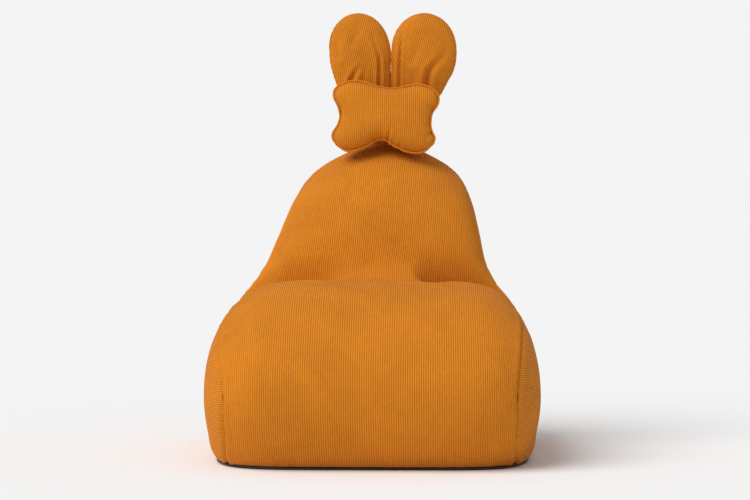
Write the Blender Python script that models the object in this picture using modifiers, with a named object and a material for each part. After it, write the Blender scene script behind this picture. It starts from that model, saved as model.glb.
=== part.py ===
"""Child's bean bag chair with long ears and a head cushion, in metres, +Z up, front towards -Y.

The origin is on the floor, under the middle of the bag. Run with: blender --background --python part.py

The bag's skin is a superquadric drawn round a core axis that runs along X. Its middle section is
SIDE_PROFILE, and its width at each height is WIDTH_STATIONS. A point on it has two angles: turn goes
round the core axis, and swing goes from the middle section (0) out to the centre of a flank (90 degrees).
"""

import math

import bmesh
import bpy
import numpy as np
from mathutils import Matrix

# ---- Driving dimensions of the bag
CORE_Y, CORE_Z = 0.10, 0.21  # where the core axis crosses the middle section
SIDE_PROFILE = (  # (y, z) round the middle section: under the front hem, up, over and down the rear
    (-0.120, -0.045),
    (-0.200, -0.032),
    (-0.272, 0.002),
    (-0.322, 0.055),
    (-0.350, 0.140),
    (-0.336, 0.205),
    (-0.298, 0.256),
    (-0.240, 0.302),
    (-0.180, 0.332),
    (-0.112, 0.346),
    (-0.040, 0.338),
    (0.012, 0.322),
    (0.006, 0.362),
    (0.002, 0.405),
    (0.018, 0.470),
    (0.050, 0.530),
    (0.095, 0.580),
    (0.150, 0.612),
    (0.200, 0.625),
    (0.245, 0.611),
    (0.290, 0.560),
    (0.325, 0.450),
    (0.346, 0.300),
    (0.350, 0.200),
    (0.346, 0.100),
    (0.322, 0.032),
    (0.285, -0.010),
    (0.200, -0.040),
    (0.000, -0.050),
)
CREASE_POINT = (0.012, 0.322)  # where the seat meets the backrest
RIDGE_POINT = (0.200, 0.625)  # the seam along the top of the backrest
WIDTH_STATIONS = (  # (height, half width)
    (-0.050, 0.284),
    (0.000, 0.3225),
    (0.060, 0.3250),
    (0.135, 0.3275),
    (0.200, 0.3215),
    (0.245, 0.3095),
    (0.285, 0.2895),
    (0.310, 0.2715),
    (0.335, 0.2505),
    (0.370, 0.2290),
    (0.430, 0.2115),
    (0.500, 0.1985),
    (0.530, 0.1935),
    (0.553, 0.1900),
    (0.578, 0.1800),
    (0.602, 0.1600),
    (0.645, 0.1200),
)
FLANK_POWER = 6.0  # how flat the flanks are
FRONT_POWERS = (  # (turn in degrees, how flat the skin is across X): flat seat and rear, round backrest
    (-130.0, 5.5),
    (-60.0, 6.0),
    (10.0, 6.0),
    (45.0, 4.0),
    (66.0, 2.6),
    (112.0, 2.6),
    (136.0, 5.0),
    (180.0, 5.2),
)
SEAM_SHARES = (  # (turn in degrees, side panel's reach as a share of the profile's radius)
    (-130.0, 0.915),
    (-40.0, 0.87),
    (20.0, 0.87),
    (45.0, 0.62),
    (62.0, 0.45),
    (90.0, 0.40),
    (112.0, 0.45),
    (121.0, 0.57),
    (128.0, 0.74),
    (135.0, 0.66),
    (142.0, 0.60),
    (158.0, 0.62),
    (166.0, 0.70),
    (174.0, 0.82),
    (184.0, 0.90),
    (200.0, 0.915),
)
LEAN = 0.087  # how far the soft backrest leans to +X for each metre above LEAN_FROM
LEAN_FROM = 0.33

# ---- Thicknesses and clearances
COVER_WALL = 0.003
LINER_INSET = 0.012
LINER_WALL = 0.0015
FILL_INSET = 0.0195
SEAM_GAP = 0.0006  # left by each panel at a seam
HEM_Z = 0.006  # the corduroy's hem, above the floor
BASE_THICK = 0.0054
LINER_FLOOR = 0.0075
FILL_FLOOR = 0.0110
CLEAR = 0.0004
FACET_ROOM = 0.0022  # how far a flat facet can dip inside the smooth skin
PULL_RISE = 0.0013  # lifts the pull on its bridge, so that it clears the panel at each end of the zip

# ---- Zips
COVER_ZIP_Z, COVER_ZIP_HALF = 0.150, 0.200
LINER_ZIP_Z, LINER_ZIP_HALF = 0.215, 0.150
ZIP_WINDOW = 0.024  # height of the opening that a zip fills
TAPE_TALL, TAPE_THICK = 0.0150, 0.0008
COIL_TALL, COIL_THICK = 0.0021, 0.0020
POST_GAP = 0.0013  # between the two halves, for the slider's post
SLIDER_LONG = 0.011
PLATE_THICK = 0.0011
STOP_LONG = 0.004
ZIP_CLEAR = 0.0003
PULL_LONG, PULL_TALL, PULL_THICK = 0.028, 0.0058, 0.0012
PIN_RADIUS, PIN_BORE, BARREL_RADIUS = 0.00050, 0.00057, 0.0013
CHEEK_THICK, RAIL_THICK = 0.0010, 0.0011

# ---- Ears, head cushion and the band that holds them together
EAR_Y = 0.197
HEAD_X = 0.031  # how far the leaning head stands to +X
EAR_CENTRE_X, EAR_CENTRE_Z = 0.0685, 0.822
EAR_HALF_WIDE = {"left": 0.0615, "right": 0.0690}
EAR_UP, EAR_DOWN, EAR_HALF_DEEP = 0.077, 0.0735, 0.019
EAR_WALL = 0.002
FOLD_Z = 0.7465  # the line where an ear folds
ROOT_TOP, ROOT_BOTTOM = 0.7450, 0.6235
ROOT_X, ROOT_HALF_WIDE, ROOT_HALF_DEEP = 0.0450, 0.0375, 0.0105
PILLOW_X, PILLOW_Y, PILLOW_Z = 0.0200, 0.1300, 0.6770
PILLOW_HALF_DEEP = 0.0400
PILLOW_EDGE = (  # (x, z) of a quarter of the cushion's bone-shaped edge, from its waist to its middle
    (0.0920, 0.0000),
    (0.0955, 0.0220),
    (0.1040, 0.0410),
    (0.1080, 0.0560),
    (0.1035, 0.0690),
    (0.0900, 0.0735),
    (0.0670, 0.0685),
    (0.0360, 0.0590),
    (0.0000, 0.0560),
)
PILLOW_TILT = math.radians(-10.0)
PILLOW_WALL = 0.0025
BAND_Z, BAND_TALL, BAND_THICK = 0.6900, 0.0240, 0.0020
BAND_HALF_WIDE, BAND_FRONT_Y, BAND_REAR_Y = 0.0860, 0.1830, 0.2110

# ---- Carry handle on the rear of the backrest
HANDLE_TOP = (0.2920, 0.5850)  # (y, z) of the line it swings on
HANDLE_LOW = (0.3340, 0.4750)  # (y, z) its lowest point hangs towards
HANDLE_HALF_WIDE, HANDLE_RADIUS = 0.0500, 0.0085
HANDLE_LEG = 0.0480
HANDLE_START = 0.0100
ANCHOR_HALF_WIDE, ANCHOR_HALF_TALL, ANCHOR_THICK = 0.0720, 0.0110, 0.0020

# ---- Colours, linear RGB
ORANGE = (0.638, 0.198, 0.014)
BLACK = (0.010, 0.010, 0.011)
WHITE = (0.760, 0.760, 0.740)


def clear_scene():
    for item in list(bpy.data.objects):
        bpy.data.objects.remove(item, do_unlink=True)


def collection_named(name):
    made = bpy.data.collections.new(name)
    bpy.context.scene.collection.children.link(made)
    return made


def plain_material(name, colour, roughness, metallic=0.0):
    made = bpy.data.materials.new(name)
    made.use_nodes = True
    shader = made.node_tree.nodes["Principled BSDF"]
    shader.inputs["Base Color"].default_value = (*colour, 1.0)
    shader.inputs["Roughness"].default_value = roughness
    shader.inputs["Metallic"].default_value = metallic
    return made


clear_scene()
CHAIR = collection_named("bean_bag_chair")
CUTTERS = collection_named("cutters")
MATERIALS = {
    "corduroy": plain_material("corduroy", ORANGE, 0.85),
    "base_fabric": plain_material("base_fabric", BLACK, 0.75),
    "liner_fabric": plain_material("liner_fabric", WHITE, 0.70),
    "beads": plain_material("beads", WHITE, 0.60),
    "wadding": plain_material("wadding", WHITE, 0.90),
    "zip_tape": plain_material("zip_tape", ORANGE, 0.80),
    "zip_coil": plain_material("zip_coil", ORANGE, 0.45),
    "zip_metal": plain_material("zip_metal", (0.55, 0.55, 0.56), 0.30, 1.0),
    "elastic": plain_material("elastic", ORANGE, 0.80),
}


def add_object(name, mesh, material=None, collection=CHAIR):
    """Links a new object. A cutter has no material and stays out of the render."""
    made = bpy.data.objects.new(name, mesh)
    collection.objects.link(made)
    if material:
        mesh.materials.append(MATERIALS[material])
    else:
        made.hide_render = True
        made.display_type = "WIRE"
    return made


def mesh_from_bmesh(bm, name):
    mesh = bpy.data.meshes.new(name)
    bm.to_mesh(mesh)
    bm.free()
    return mesh


def smooth_through(stations, period=None):
    """A function that runs smoothly through (place, value) stations, in order of place."""
    places = np.array([s[0] for s in stations], float)
    values = np.array([s[1] for s in stations], float)
    if period:
        places = np.concatenate([places - period, places, places + period])
        values = np.tile(values, 3)
    slopes = np.gradient(values, places)

    def value_at(place):
        place = np.clip(np.asarray(place, float), places[0], places[-1])
        left = np.clip(np.searchsorted(places, place) - 1, 0, len(places) - 2)
        span = places[left + 1] - places[left]
        t = (place - places[left]) / span
        rise = values[left + 1] - values[left]
        ease = t * t * (3 - 2 * t)
        start_slope = slopes[left] * span * t * (1 - t) ** 2
        end_slope = slopes[left + 1] * span * t * t * (t - 1)
        return values[left] + rise * ease + start_slope + end_slope

    return value_at


def polar(point):
    """(turn, radius) of a (y, z) point round the core axis. Turn is in degrees, -130 to 230."""
    dy, dz = point[0] - CORE_Y, point[1] - CORE_Z
    turn = math.degrees(math.atan2(dz, dy))
    return (turn + 360.0 if turn < -130.0 else turn, math.hypot(dy, dz))


profile_radius = smooth_through(sorted(polar(p) for p in SIDE_PROFILE), period=360.0)
half_width = smooth_through(WIDTH_STATIONS)
front_power = smooth_through(FRONT_POWERS, period=360.0)
seam_share = smooth_through(SEAM_SHARES, period=360.0)


def lean_at(z):
    above = np.maximum(np.asarray(z, float) - LEAN_FROM, 0.0)
    return LEAN * above * above / (above + 0.04)


def skin_points(turn, swing, inset=0.0):
    """Points (..., 3) of the bag's skin. turn is in degrees; swing is -90 to 90, and its sign is X's."""
    turn, swing = np.broadcast_arrays(np.asarray(turn, float), np.asarray(swing, float))
    bend = np.radians(np.abs(swing))
    share = np.maximum(np.cos(bend), 0.0) ** (2 / FLANK_POWER)
    across = np.sin(bend) ** (2 / front_power(turn))
    radius = (profile_radius(turn) - inset) * share
    y = CORE_Y + radius * np.cos(np.radians(turn))
    z = CORE_Z + radius * np.sin(np.radians(turn))
    x = np.sign(swing) * across * (half_width(z) - inset) + lean_at(z)
    return np.stack([x, y, z], axis=-1)


def seam_swing(turn):
    """The swing at which the side panel's seam runs."""
    return np.degrees(np.arccos(seam_share(turn) ** (FLANK_POWER / 2)))


def even_turns(first, last, count):
    """Turns from first to last, evenly spaced along the middle section."""
    fine = np.linspace(first, last, 600)
    line = skin_points(fine, 0.0)
    run = np.concatenate([[0], np.cumsum(np.linalg.norm(np.diff(line, axis=0), axis=1))])
    return np.interp(np.linspace(0, run[-1], count + 1), run, fine)


def even_swings(turn, first, last, count, inset=0.0):
    """Swings from first to last, evenly spaced along the skin at this turn."""
    fine = np.linspace(first, last, 500)
    line = skin_points(turn, fine, inset)
    run = np.concatenate([[0], np.cumsum(np.linalg.norm(np.diff(line, axis=0), axis=1))])
    return np.interp(np.linspace(0, run[-1], count + 1), run, fine)


def add_grid(bm, points, wrap=False):
    """Joins rows of points into quads. With wrap, the last row is joined to the first."""
    rows = [[bm.verts.new(p) for p in row] for row in points]
    pairs = list(zip(rows, rows[1:])) + ([(rows[-1], rows[0])] if wrap else [])
    for low, high in pairs:
        for a, b, c, d in zip(low, low[1:], high[1:], high):
            bm.faces.new((a, b, c, d))
    return rows


def add_wall(bm, outer, inner):
    """Closes the gap between two loops that have the same number of points."""
    for a, b, c, d in zip(outer, outer[1:] + outer[:1], inner[1:] + inner[:1], inner):
        bm.faces.new((a, b, c, d))


def rim(rows):
    """The loop of points round a grid."""
    return rows[0] + [r[-1] for r in rows[1:-1]] + rows[-1][::-1] + [r[0] for r in rows[-2:0:-1]]


def thicken(panel, wall):
    """Turns an open or closed skin into a shell whose outer face stays where it is."""
    shell = panel.modifiers.new("wall", "SOLIDIFY")
    shell.thickness = wall
    shell.offset = -1.0
    return panel


def seam_gap(turn):
    """Degrees of swing that a panel keeps from the side seam."""
    edge = float(seam_swing(turn))
    degree = np.linalg.norm(skin_points(turn, edge) - skin_points(turn, edge - 1))
    return SEAM_GAP / 2 / max(degree, 1e-6)


def strip_panel(name, turns, columns, trims=()):
    """A cover panel that runs across the bag, from one side seam to the other."""
    swings = []
    for turn in turns:
        edge = float(seam_swing(turn)) - seam_gap(turn)
        half = even_swings(turn, 0.0, edge, columns)
        swings.append(np.concatenate([-half[::-1], half[1:]]))
    bm = bmesh.new()
    faces = [
        add_grid(bm, [skin_points(turn, row, inset) for turn, row in zip(turns, swings)])
        for inset in (0.0, COVER_WALL)
    ]
    add_wall(bm, rim(faces[0]), rim(faces[1]))
    bmesh.ops.recalc_face_normals(bm, faces=bm.faces[:])
    panel = add_object(name, mesh_from_bmesh(bm, name), "corduroy")
    for trim in trims:
        cut(panel, trim)
    return panel


def side_panel(name, side, turns, rings, trims):
    """A flank: rings from the seam in to the middle."""
    bm = bmesh.new()
    seams = []
    for inset in (0.0, COVER_WALL):
        rows = []
        for turn in turns:
            edge = float(seam_swing(turn)) + seam_gap(turn)
            rows.append(skin_points(turn, side * even_swings(turn, edge, 90.0, rings)[:-1], inset))
        made = add_grid(bm, rows, wrap=True)
        middle = bm.verts.new(skin_points(0.0, side * 90.0, inset))
        inner = [row[-1] for row in made]
        for a, b in zip(inner, inner[1:] + inner[:1]):
            bm.faces.new((a, b, middle))
        seams.append([row[0] for row in made])
    add_wall(bm, *seams)
    bmesh.ops.recalc_face_normals(bm, faces=bm.faces[:])
    panel = add_object(name, mesh_from_bmesh(bm, name), "corduroy")
    for trim in trims:
        cut(panel, trim)
    return panel


def closed_skin(turns, columns, inset, floor):
    """The whole skin as one closed form, drawn in by inset and flattened at floor."""
    bm = bmesh.new()
    rings = []
    for turn in turns:
        swings = even_swings(turn, -90.0, 90.0, columns, inset)[1:-1]
        points = skin_points(turn, swings, inset)
        points[:, 2] = np.maximum(points[:, 2], floor)
        rings.append([bm.verts.new(p) for p in points])
    ends = [bm.verts.new(skin_points(0.0, side * 90.0, inset)) for side in (-1, 1)]
    for ring, after in zip(rings, rings[1:] + rings[:1]):
        for a, b, c, d in zip(ring, ring[1:], after[1:], after):
            bm.faces.new((a, b, c, d))
        bm.faces.new((ring[0], after[0], ends[0]))
        bm.faces.new((ring[-1], after[-1], ends[1]))
    bmesh.ops.recalc_face_normals(bm, faces=bm.faces[:])
    return bm


def box_mesh(low, high):
    """A box between two corners, from a unit cube."""
    bm = bmesh.new()
    bmesh.ops.create_cube(bm, size=1.0)
    size = [b - a for a, b in zip(low, high)]
    middle = [(a + b) / 2 for a, b in zip(low, high)]
    bmesh.ops.transform(bm, matrix=Matrix.Translation(middle) @ Matrix.Diagonal((*size, 1)), verts=bm.verts[:])
    return mesh_from_bmesh(bm, "box")


def add_box(name, low, high, material, bevel=0.0):
    made = add_object(name, box_mesh(low, high), material)
    if bevel:
        edge = made.modifiers.new("edges", "BEVEL")
        edge.width = bevel
        edge.segments = 1
    return made


def cut(target, cutter, operation="DIFFERENCE"):
    joint = target.modifiers.new(cutter.name, "BOOLEAN")
    joint.object = cutter
    joint.operation = operation
    joint.solver = "EXACT"


def cutter_box(name, low, high):
    return add_object(name, box_mesh(low, high), collection=CUTTERS)


def cutter_rod(name, radius, half_long, middle):
    """An upright rod."""
    bm = bmesh.new()
    bmesh.ops.create_cone(
        bm, cap_ends=True, segments=12, radius1=radius, radius2=radius, depth=2 * half_long
    )
    bmesh.ops.translate(bm, vec=middle, verts=bm.verts[:])
    return add_object(name, mesh_from_bmesh(bm, name), collection=CUTTERS)


# ---- The cover, the liner and the beads


def build_cover():
    front_hem = polar((-0.278, HEM_Z))[0] + 6.0
    rear_hem = polar((0.300, HEM_Z))[0] - 10.0
    crease = polar(CREASE_POINT)[0]
    ridge = polar(RIDGE_POINT)[0]
    seat = even_turns(front_hem, crease, 17)
    back = even_turns(crease, ridge, 8)
    rear = even_turns(ridge, rear_hem, 12)
    under = even_turns(rear_hem, front_hem - 360.0, 5)
    floor = cutter_box("below_the_hem", (-0.5, -0.6, -0.2), (0.5, 0.6, HEM_Z))
    zip_above = cutter_box("above_the_zip", (-0.5, -0.6, COVER_ZIP_Z - SEAM_GAP), (0.5, 0.6, 0.9))
    zip_below = cutter_box("below_the_zip", (-0.5, -0.6, -0.2), (0.5, 0.6, COVER_ZIP_Z + SEAM_GAP))
    window = cutter_box(
        "cover_zip_window",
        (-COVER_ZIP_HALF, 0.30, COVER_ZIP_Z - ZIP_WINDOW / 2),
        (COVER_ZIP_HALF, 0.40, COVER_ZIP_Z + ZIP_WINDOW / 2),
    )
    gap = math.degrees(SEAM_GAP / 0.4)  # degrees of turn that a panel keeps from the crease or the ridge
    strip_panel("seat_panel", [*seat[:-1], crease + gap], 7, [floor])
    strip_panel("backrest_panel", [crease - gap, *back[1:-1], ridge + gap], 6)
    rear_turns = [ridge - gap, *rear[1:]]
    strip_panel("rear_panel_upper", rear_turns, 6, [window, zip_below])
    strip_panel("rear_panel_lower", rear_turns, 6, [window, zip_above, floor])
    runs = (seat, back, rear, under)
    round_turns = [turn for run in runs for turn in run[:-1]]
    side_panel("left_side_panel", -1, round_turns, 4, [floor])
    side_panel("right_side_panel", 1, round_turns, 4, [floor])
    coarse = (seat[:-1:2], back[:-1:2], rear[:-1], under[:-1:2])
    return round_turns, [turn for run in coarse for turn in run]


def build_base(turns):
    """The black base: the skin's own outline at the hem, a few millimetres thick."""
    bm = closed_skin(turns, 20, 0.0015, -1.0)
    whole = bm.verts[:] + bm.edges[:] + bm.faces[:]
    bmesh.ops.bisect_plane(
        bm, geom=whole, plane_co=(0, 0, HEM_Z), plane_no=(0, 0, 1), clear_inner=True, clear_outer=True
    )
    bmesh.ops.contextual_create(bm, geom=bm.edges[:])
    for vert in bm.verts:
        vert.co.z = 0.0
    grown = bmesh.ops.extrude_face_region(bm, geom=bm.faces[:])
    for item in grown["geom"]:
        if isinstance(item, bmesh.types.BMVert):
            item.co.z = BASE_THICK
    bmesh.ops.recalc_face_normals(bm, faces=bm.faces[:])
    add_object("base_panel", mesh_from_bmesh(bm, "base_panel"), "base_fabric")


def build_inside(turns):
    liner_mesh = mesh_from_bmesh(closed_skin(turns, 14, LINER_INSET, LINER_FLOOR), "inner_liner")
    liner = thicken(add_object("inner_liner", liner_mesh, "liner_fabric"), LINER_WALL)
    slot = cutter_box(
        "liner_zip_window",
        (-LINER_ZIP_HALF, 0.25, LINER_ZIP_Z - ZIP_WINDOW / 2),
        (LINER_ZIP_HALF, 0.40, LINER_ZIP_Z + ZIP_WINDOW / 2),
    )
    cut(liner, slot)
    fill_mesh = mesh_from_bmesh(closed_skin(turns, 14, FILL_INSET, FILL_FLOOR), "bead_fill")
    add_object("bead_fill", fill_mesh, "beads")


# ---- Zips


def build_zip(prefix, face_y, z, half, with_pull):
    """A straight coil zip, closed, in a window whose inner face is at face_y. Its slider rests at -X."""
    tape_y = face_y - TAPE_THICK
    for name, up in (("upper", 1), ("lower", -1)):
        near = z + up * POST_GAP / 2
        far = near + up * TAPE_TALL
        low, high = sorted((near, far))
        add_box(
            f"{prefix}_tape_{name}",
            (-half - 0.006, tape_y, low),
            (half + 0.006, face_y, high),
            "zip_tape",
        )
        low, high = sorted((near, near + up * COIL_TALL))
        add_box(
            f"{prefix}_coil_{name}",
            (-half + STOP_LONG + CLEAR, face_y + ZIP_CLEAR, low),
            (half - STOP_LONG - CLEAR, face_y + ZIP_CLEAR + COIL_THICK, high),
            "zip_coil",
            bevel=0.0005,
        )
    for name, side in (("left", -1), ("right", 1)):
        low, high = sorted((side * half, side * (half - STOP_LONG)))
        tall = COIL_TALL + POST_GAP / 2
        add_box(
            f"{prefix}_stop_{name}",
            (low, face_y + ZIP_CLEAR, z - tall),
            (high, face_y + ZIP_CLEAR + COIL_THICK, z + tall),
            "zip_metal",
            bevel=0.0004,
        )
    build_slider(f"{prefix}_slider", face_y, z, half, with_pull)
    if with_pull:
        build_pull(f"{prefix}_pull", face_y, z, half)


def slider_start(half):
    """X of a slider's middle at rest, against the stop at -X."""
    return -half + STOP_LONG + CLEAR + SLIDER_LONG / 2


def plate_y(face_y):
    """Y of the inner face of a slider's outer plate."""
    return face_y + ZIP_CLEAR + COIL_THICK + ZIP_CLEAR


def pin_y(face_y):
    """Y of the pin that a slider's pull turns on."""
    return plate_y(face_y) + PLATE_THICK + BARREL_RADIUS + ZIP_CLEAR + PULL_RISE


def build_slider(name, face_y, z, half, with_pin):
    """Two plates joined by a thin post that runs between the halves, with rails beside the coils."""
    middle = slider_start(half)
    x0, x1 = middle - SLIDER_LONG / 2, middle + SLIDER_LONG / 2
    tall = POST_GAP / 2 + COIL_TALL + ZIP_CLEAR
    outer = plate_y(face_y)
    inner = face_y - TAPE_THICK - ZIP_CLEAR
    low_z, high_z = z - tall - RAIL_THICK, z + tall + RAIL_THICK
    slider = add_box(name, (x0, outer, low_z), (x1, outer + PLATE_THICK, high_z), "zip_metal")
    parts = [
        ((x0, inner - PLATE_THICK, low_z), (x1, inner, high_z)),
        ((x0 + 0.003, inner - 0.0005, z - 0.00035), (x1 - 0.003, outer + 0.0005, z + 0.00035)),
    ]
    for side in (-1, 1):
        low, high = sorted((z + side * tall, z + side * (tall + RAIL_THICK)))
        parts.append(((x0, face_y + ZIP_CLEAR, low), (x1, outer + 0.0005, high)))
        if with_pin:
            near = PULL_TALL / 2 + ZIP_CLEAR
            low, high = sorted((z + side * near, z + side * (near + CHEEK_THICK)))
            top = pin_y(face_y) + 0.0010
            parts.append(((middle - 0.0013, outer + 0.0005, low), (middle + 0.0013, top, high)))
    for i, (low, high) in enumerate(parts):
        cut(slider, cutter_box(f"{name}_piece_{i}", low, high), "UNION")
    if with_pin:
        pin_half = PULL_TALL / 2 + ZIP_CLEAR + CHEEK_THICK / 2
        cut(slider, cutter_rod(f"{name}_pin", PIN_RADIUS, pin_half, (middle, pin_y(face_y), z)), "UNION")


def build_pull(name, face_y, z, half):
    """The tab that lies on the slider. Its barrel turns on the slider's upright pin."""
    x, y = slider_start(half), pin_y(face_y)
    pull = add_box(
        name,
        (x + 0.0010, y - PULL_THICK / 2, z - PULL_TALL / 2),
        (x + PULL_LONG, y + PULL_THICK / 2, z + PULL_TALL / 2),
        "zip_metal",
    )
    cut(pull, cutter_rod(f"{name}_barrel", BARREL_RADIUS, PULL_TALL / 2, (x, y, z)), "UNION")
    cut(pull, cutter_rod(f"{name}_bore", PIN_BORE, PULL_TALL, (x, y, z)))
    hole = cutter_box(
        f"{name}_hole",
        (x + PULL_LONG - 0.012, y - 0.01, z - 0.0014),
        (x + PULL_LONG - 0.006, y + 0.01, z + 0.0014),
    )
    cut(pull, hole)


# ---- Soft forms with a sewn edge


def lens_mesh(outline, half_deep, edge_power, rings, segments, shrink=0.0):
    """A closed soft form about the XZ plane. outline(angle) is its (x, z) edge; it is thickest in the middle."""
    bm = bmesh.new()
    bmesh.ops.create_uvsphere(bm, u_segments=segments, v_segments=2 * rings, radius=1.0)
    for vert in bm.verts:
        reach = math.hypot(vert.co.x, vert.co.y)
        angle = math.atan2(vert.co.y, vert.co.x)
        share = math.degrees(math.asin(min(reach, 1.0))) / 90.0
        x, z = outline(angle)
        length = max(math.hypot(x, z), 1e-9)
        scale = share * (length - shrink) / length
        front = 0.0 if abs(vert.co.z) < 1e-6 else math.copysign(1.0, vert.co.z)
        deep = (half_deep - shrink) * (1.0 - share**2.2) ** edge_power
        vert.co = (x * scale, -front * deep, z * scale)
    return mesh_from_bmesh(bm, "lens")


def sewn_pair(prefix, outline, half_deep, edge_power, rings, segments, wall, place, filling):
    """Front and back panels sewn round the edge, with the filling between them."""
    outer = lens_mesh(outline, half_deep, edge_power, rings, segments)
    hollow = add_object(
        f"{prefix}_hollow", lens_mesh(outline, half_deep, edge_power, rings, segments, wall), collection=CUTTERS
    )
    hollow.matrix_world = place
    reach = 0.4
    for name, side in (("front", -1), ("back", 1)):
        panel = add_object(f"{prefix}_{name}_panel", outer.copy(), "corduroy")
        panel.matrix_world = place
        cut(panel, hollow)
        low_y, high_y = sorted((-side * reach, side * 0.0003))
        half_space = cutter_box(f"{prefix}_{name}_half", (-reach, low_y, -reach), (reach, high_y, reach))
        half_space.matrix_world = place
        cut(panel, half_space)
    stuffing = lens_mesh(outline, half_deep, edge_power, rings, segments, wall + 0.0006)
    inside = add_object(f"{prefix}_{filling}", stuffing, "wadding")
    inside.matrix_world = place


def signed_power(value, power):
    return math.copysign(abs(value) ** power, value)


pillow_x = smooth_through([(i, point[0]) for i, point in enumerate(PILLOW_EDGE)])
pillow_z = smooth_through([(i, point[1]) for i, point in enumerate(PILLOW_EDGE)])


def ear_outline(half_wide):
    """Round at the tip, squarer and a little narrower where the ear folds."""

    def edge(angle):
        c, s = math.cos(angle), math.sin(angle)
        if s >= 0:
            return half_wide * c, EAR_UP * s
        x = half_wide * signed_power(c, 2 / 3.2) * (1 - 0.16 * s * s)
        return x, EAR_DOWN * signed_power(s, 2 / 3.2)

    return edge


def root_outline(angle):
    """The gathered foot of an ear, wider at the fold than at the ridge seam."""
    c, s = math.cos(angle), math.sin(angle)
    half_tall = (ROOT_TOP - ROOT_BOTTOM) / 2
    x = ROOT_HALF_WIDE * signed_power(c, 2 / 3.0) * (1 + 0.16 * s)
    return x, half_tall * signed_power(s, 2 / 3.0)


def pillow_outline(angle):
    """Passes through PILLOW_EDGE in the first quarter, and mirrors it in the others."""
    c, s = math.cos(angle), math.sin(angle)
    place = math.atan2(abs(s), abs(c)) / (math.pi / 2) * (len(PILLOW_EDGE) - 1)
    return math.copysign(float(pillow_x(place)), c), math.copysign(float(pillow_z(place)), s)


def build_ears():
    for name, side in (("left", -1), ("right", 1)):
        place = Matrix.Translation((HEAD_X + side * EAR_CENTRE_X, EAR_Y, EAR_CENTRE_Z))
        outline = ear_outline(EAR_HALF_WIDE[name])
        sewn_pair(f"{name}_ear", outline, EAR_HALF_DEEP, 0.9, 3, 18, EAR_WALL, place, "wadding")
        root_z = (ROOT_TOP + ROOT_BOTTOM) / 2
        root = add_object(f"{name}_ear_root", lens_mesh(root_outline, ROOT_HALF_DEEP, 0.6, 3, 14), "corduroy")
        root.matrix_world = Matrix.Translation((HEAD_X + side * ROOT_X, EAR_Y, root_z))


def build_pillow():
    place = Matrix.Translation((PILLOW_X, PILLOW_Y, PILLOW_Z)) @ Matrix.Rotation(PILLOW_TILT, 4, "X")
    sewn_pair("head_pillow", pillow_outline, PILLOW_HALF_DEEP, 0.62, 4, 32, PILLOW_WALL, place, "fibre_fill")


def build_band():
    """The elastic band round the feet of both ears: a flat ring, wider than deep."""
    middle_y = (BAND_FRONT_Y + BAND_REAR_Y) / 2
    half_deep = (BAND_REAR_Y - BAND_FRONT_Y) / 2
    straight = BAND_HALF_WIDE - half_deep
    ring = bpy.data.curves.new("ear_band", "CURVE")
    ring.dimensions = "2D"
    ring.fill_mode = "BOTH"
    ring.extrude = BAND_TALL / 2
    for radius in (half_deep, half_deep - BAND_THICK):
        spline = ring.splines.new("POLY")
        count = 20
        spline.points.add(count - 1)
        for i, point in enumerate(spline.points):
            angle = 2 * math.pi * (i + 0.5) / count
            x = math.copysign(straight, math.cos(angle)) + radius * math.cos(angle)
            point.co = (x, radius * math.sin(angle), 0, 1)
        spline.use_cyclic_u = True
    band = bpy.data.objects.new("ear_band", ring)
    ring.materials.append(MATERIALS["elastic"])
    CHAIR.objects.link(band)
    band.location = (HEAD_X, middle_y, BAND_Z)


# ---- Carry handle


def build_handle():
    """A U of fabric tube that hangs from a patch on the rear panel."""
    drop_y, drop_z = HANDLE_LOW[0] - HANDLE_TOP[0], HANDLE_LOW[1] - HANDLE_TOP[1]
    drop = math.hypot(drop_y, drop_z)
    along = (drop_y / drop, drop_z / drop)
    route = [(-HANDLE_HALF_WIDE, HANDLE_START), (-HANDLE_HALF_WIDE, (HANDLE_START + HANDLE_LEG) / 2)]
    steps = 12
    for i in range(steps + 1):
        angle = math.pi * (1 - i / steps)
        route.append((HANDLE_HALF_WIDE * math.cos(angle), HANDLE_LEG + HANDLE_HALF_WIDE * math.sin(angle)))
    route += [(HANDLE_HALF_WIDE, (HANDLE_START + HANDLE_LEG) / 2), (HANDLE_HALF_WIDE, HANDLE_START)]
    tube = bpy.data.curves.new("carry_handle", "CURVE")
    tube.dimensions = "3D"
    tube.bevel_depth = HANDLE_RADIUS
    tube.bevel_resolution = 2
    tube.use_fill_caps = True
    spline = tube.splines.new("POLY")
    spline.points.add(len(route) - 1)
    lean = float(lean_at(HANDLE_TOP[1]))
    for point, (x, down) in zip(spline.points, route):
        point.co = (x, along[0] * down, along[1] * down, 1)
    tube.materials.append(MATERIALS["corduroy"])
    handle = bpy.data.objects.new("carry_handle", tube)
    CHAIR.objects.link(handle)
    handle.location = (lean, *HANDLE_TOP)
    build_anchor(lean)


def build_anchor(lean):
    """The sewn patch: a strip that follows the rear skin just outside the panel."""
    turn_mid = polar((HANDLE_TOP[0] - 0.014, HANDLE_TOP[1]))[0]
    span = math.degrees(ANCHOR_HALF_TALL / float(profile_radius(turn_mid)))
    turns = np.linspace(turn_mid + span, turn_mid - span, 3)
    rows = []
    for turn in turns:
        fine = np.linspace(-80, 80, 801)
        line = skin_points(turn, fine, -(CLEAR + ANCHOR_THICK))
        wanted = np.linspace(-ANCHOR_HALF_WIDE, ANCHOR_HALF_WIDE, 11) + lean
        rows.append(skin_points(turn, np.interp(wanted, line[:, 0], fine), -(CLEAR + ANCHOR_THICK)))
    bm = bmesh.new()
    add_grid(bm, rows)
    if sum(face.normal.y for face in bm.faces) < 0:
        bmesh.ops.reverse_faces(bm, faces=bm.faces[:])
    thicken(add_object("handle_anchor", mesh_from_bmesh(bm, "handle_anchor"), "corduroy"), ANCHOR_THICK)


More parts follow.
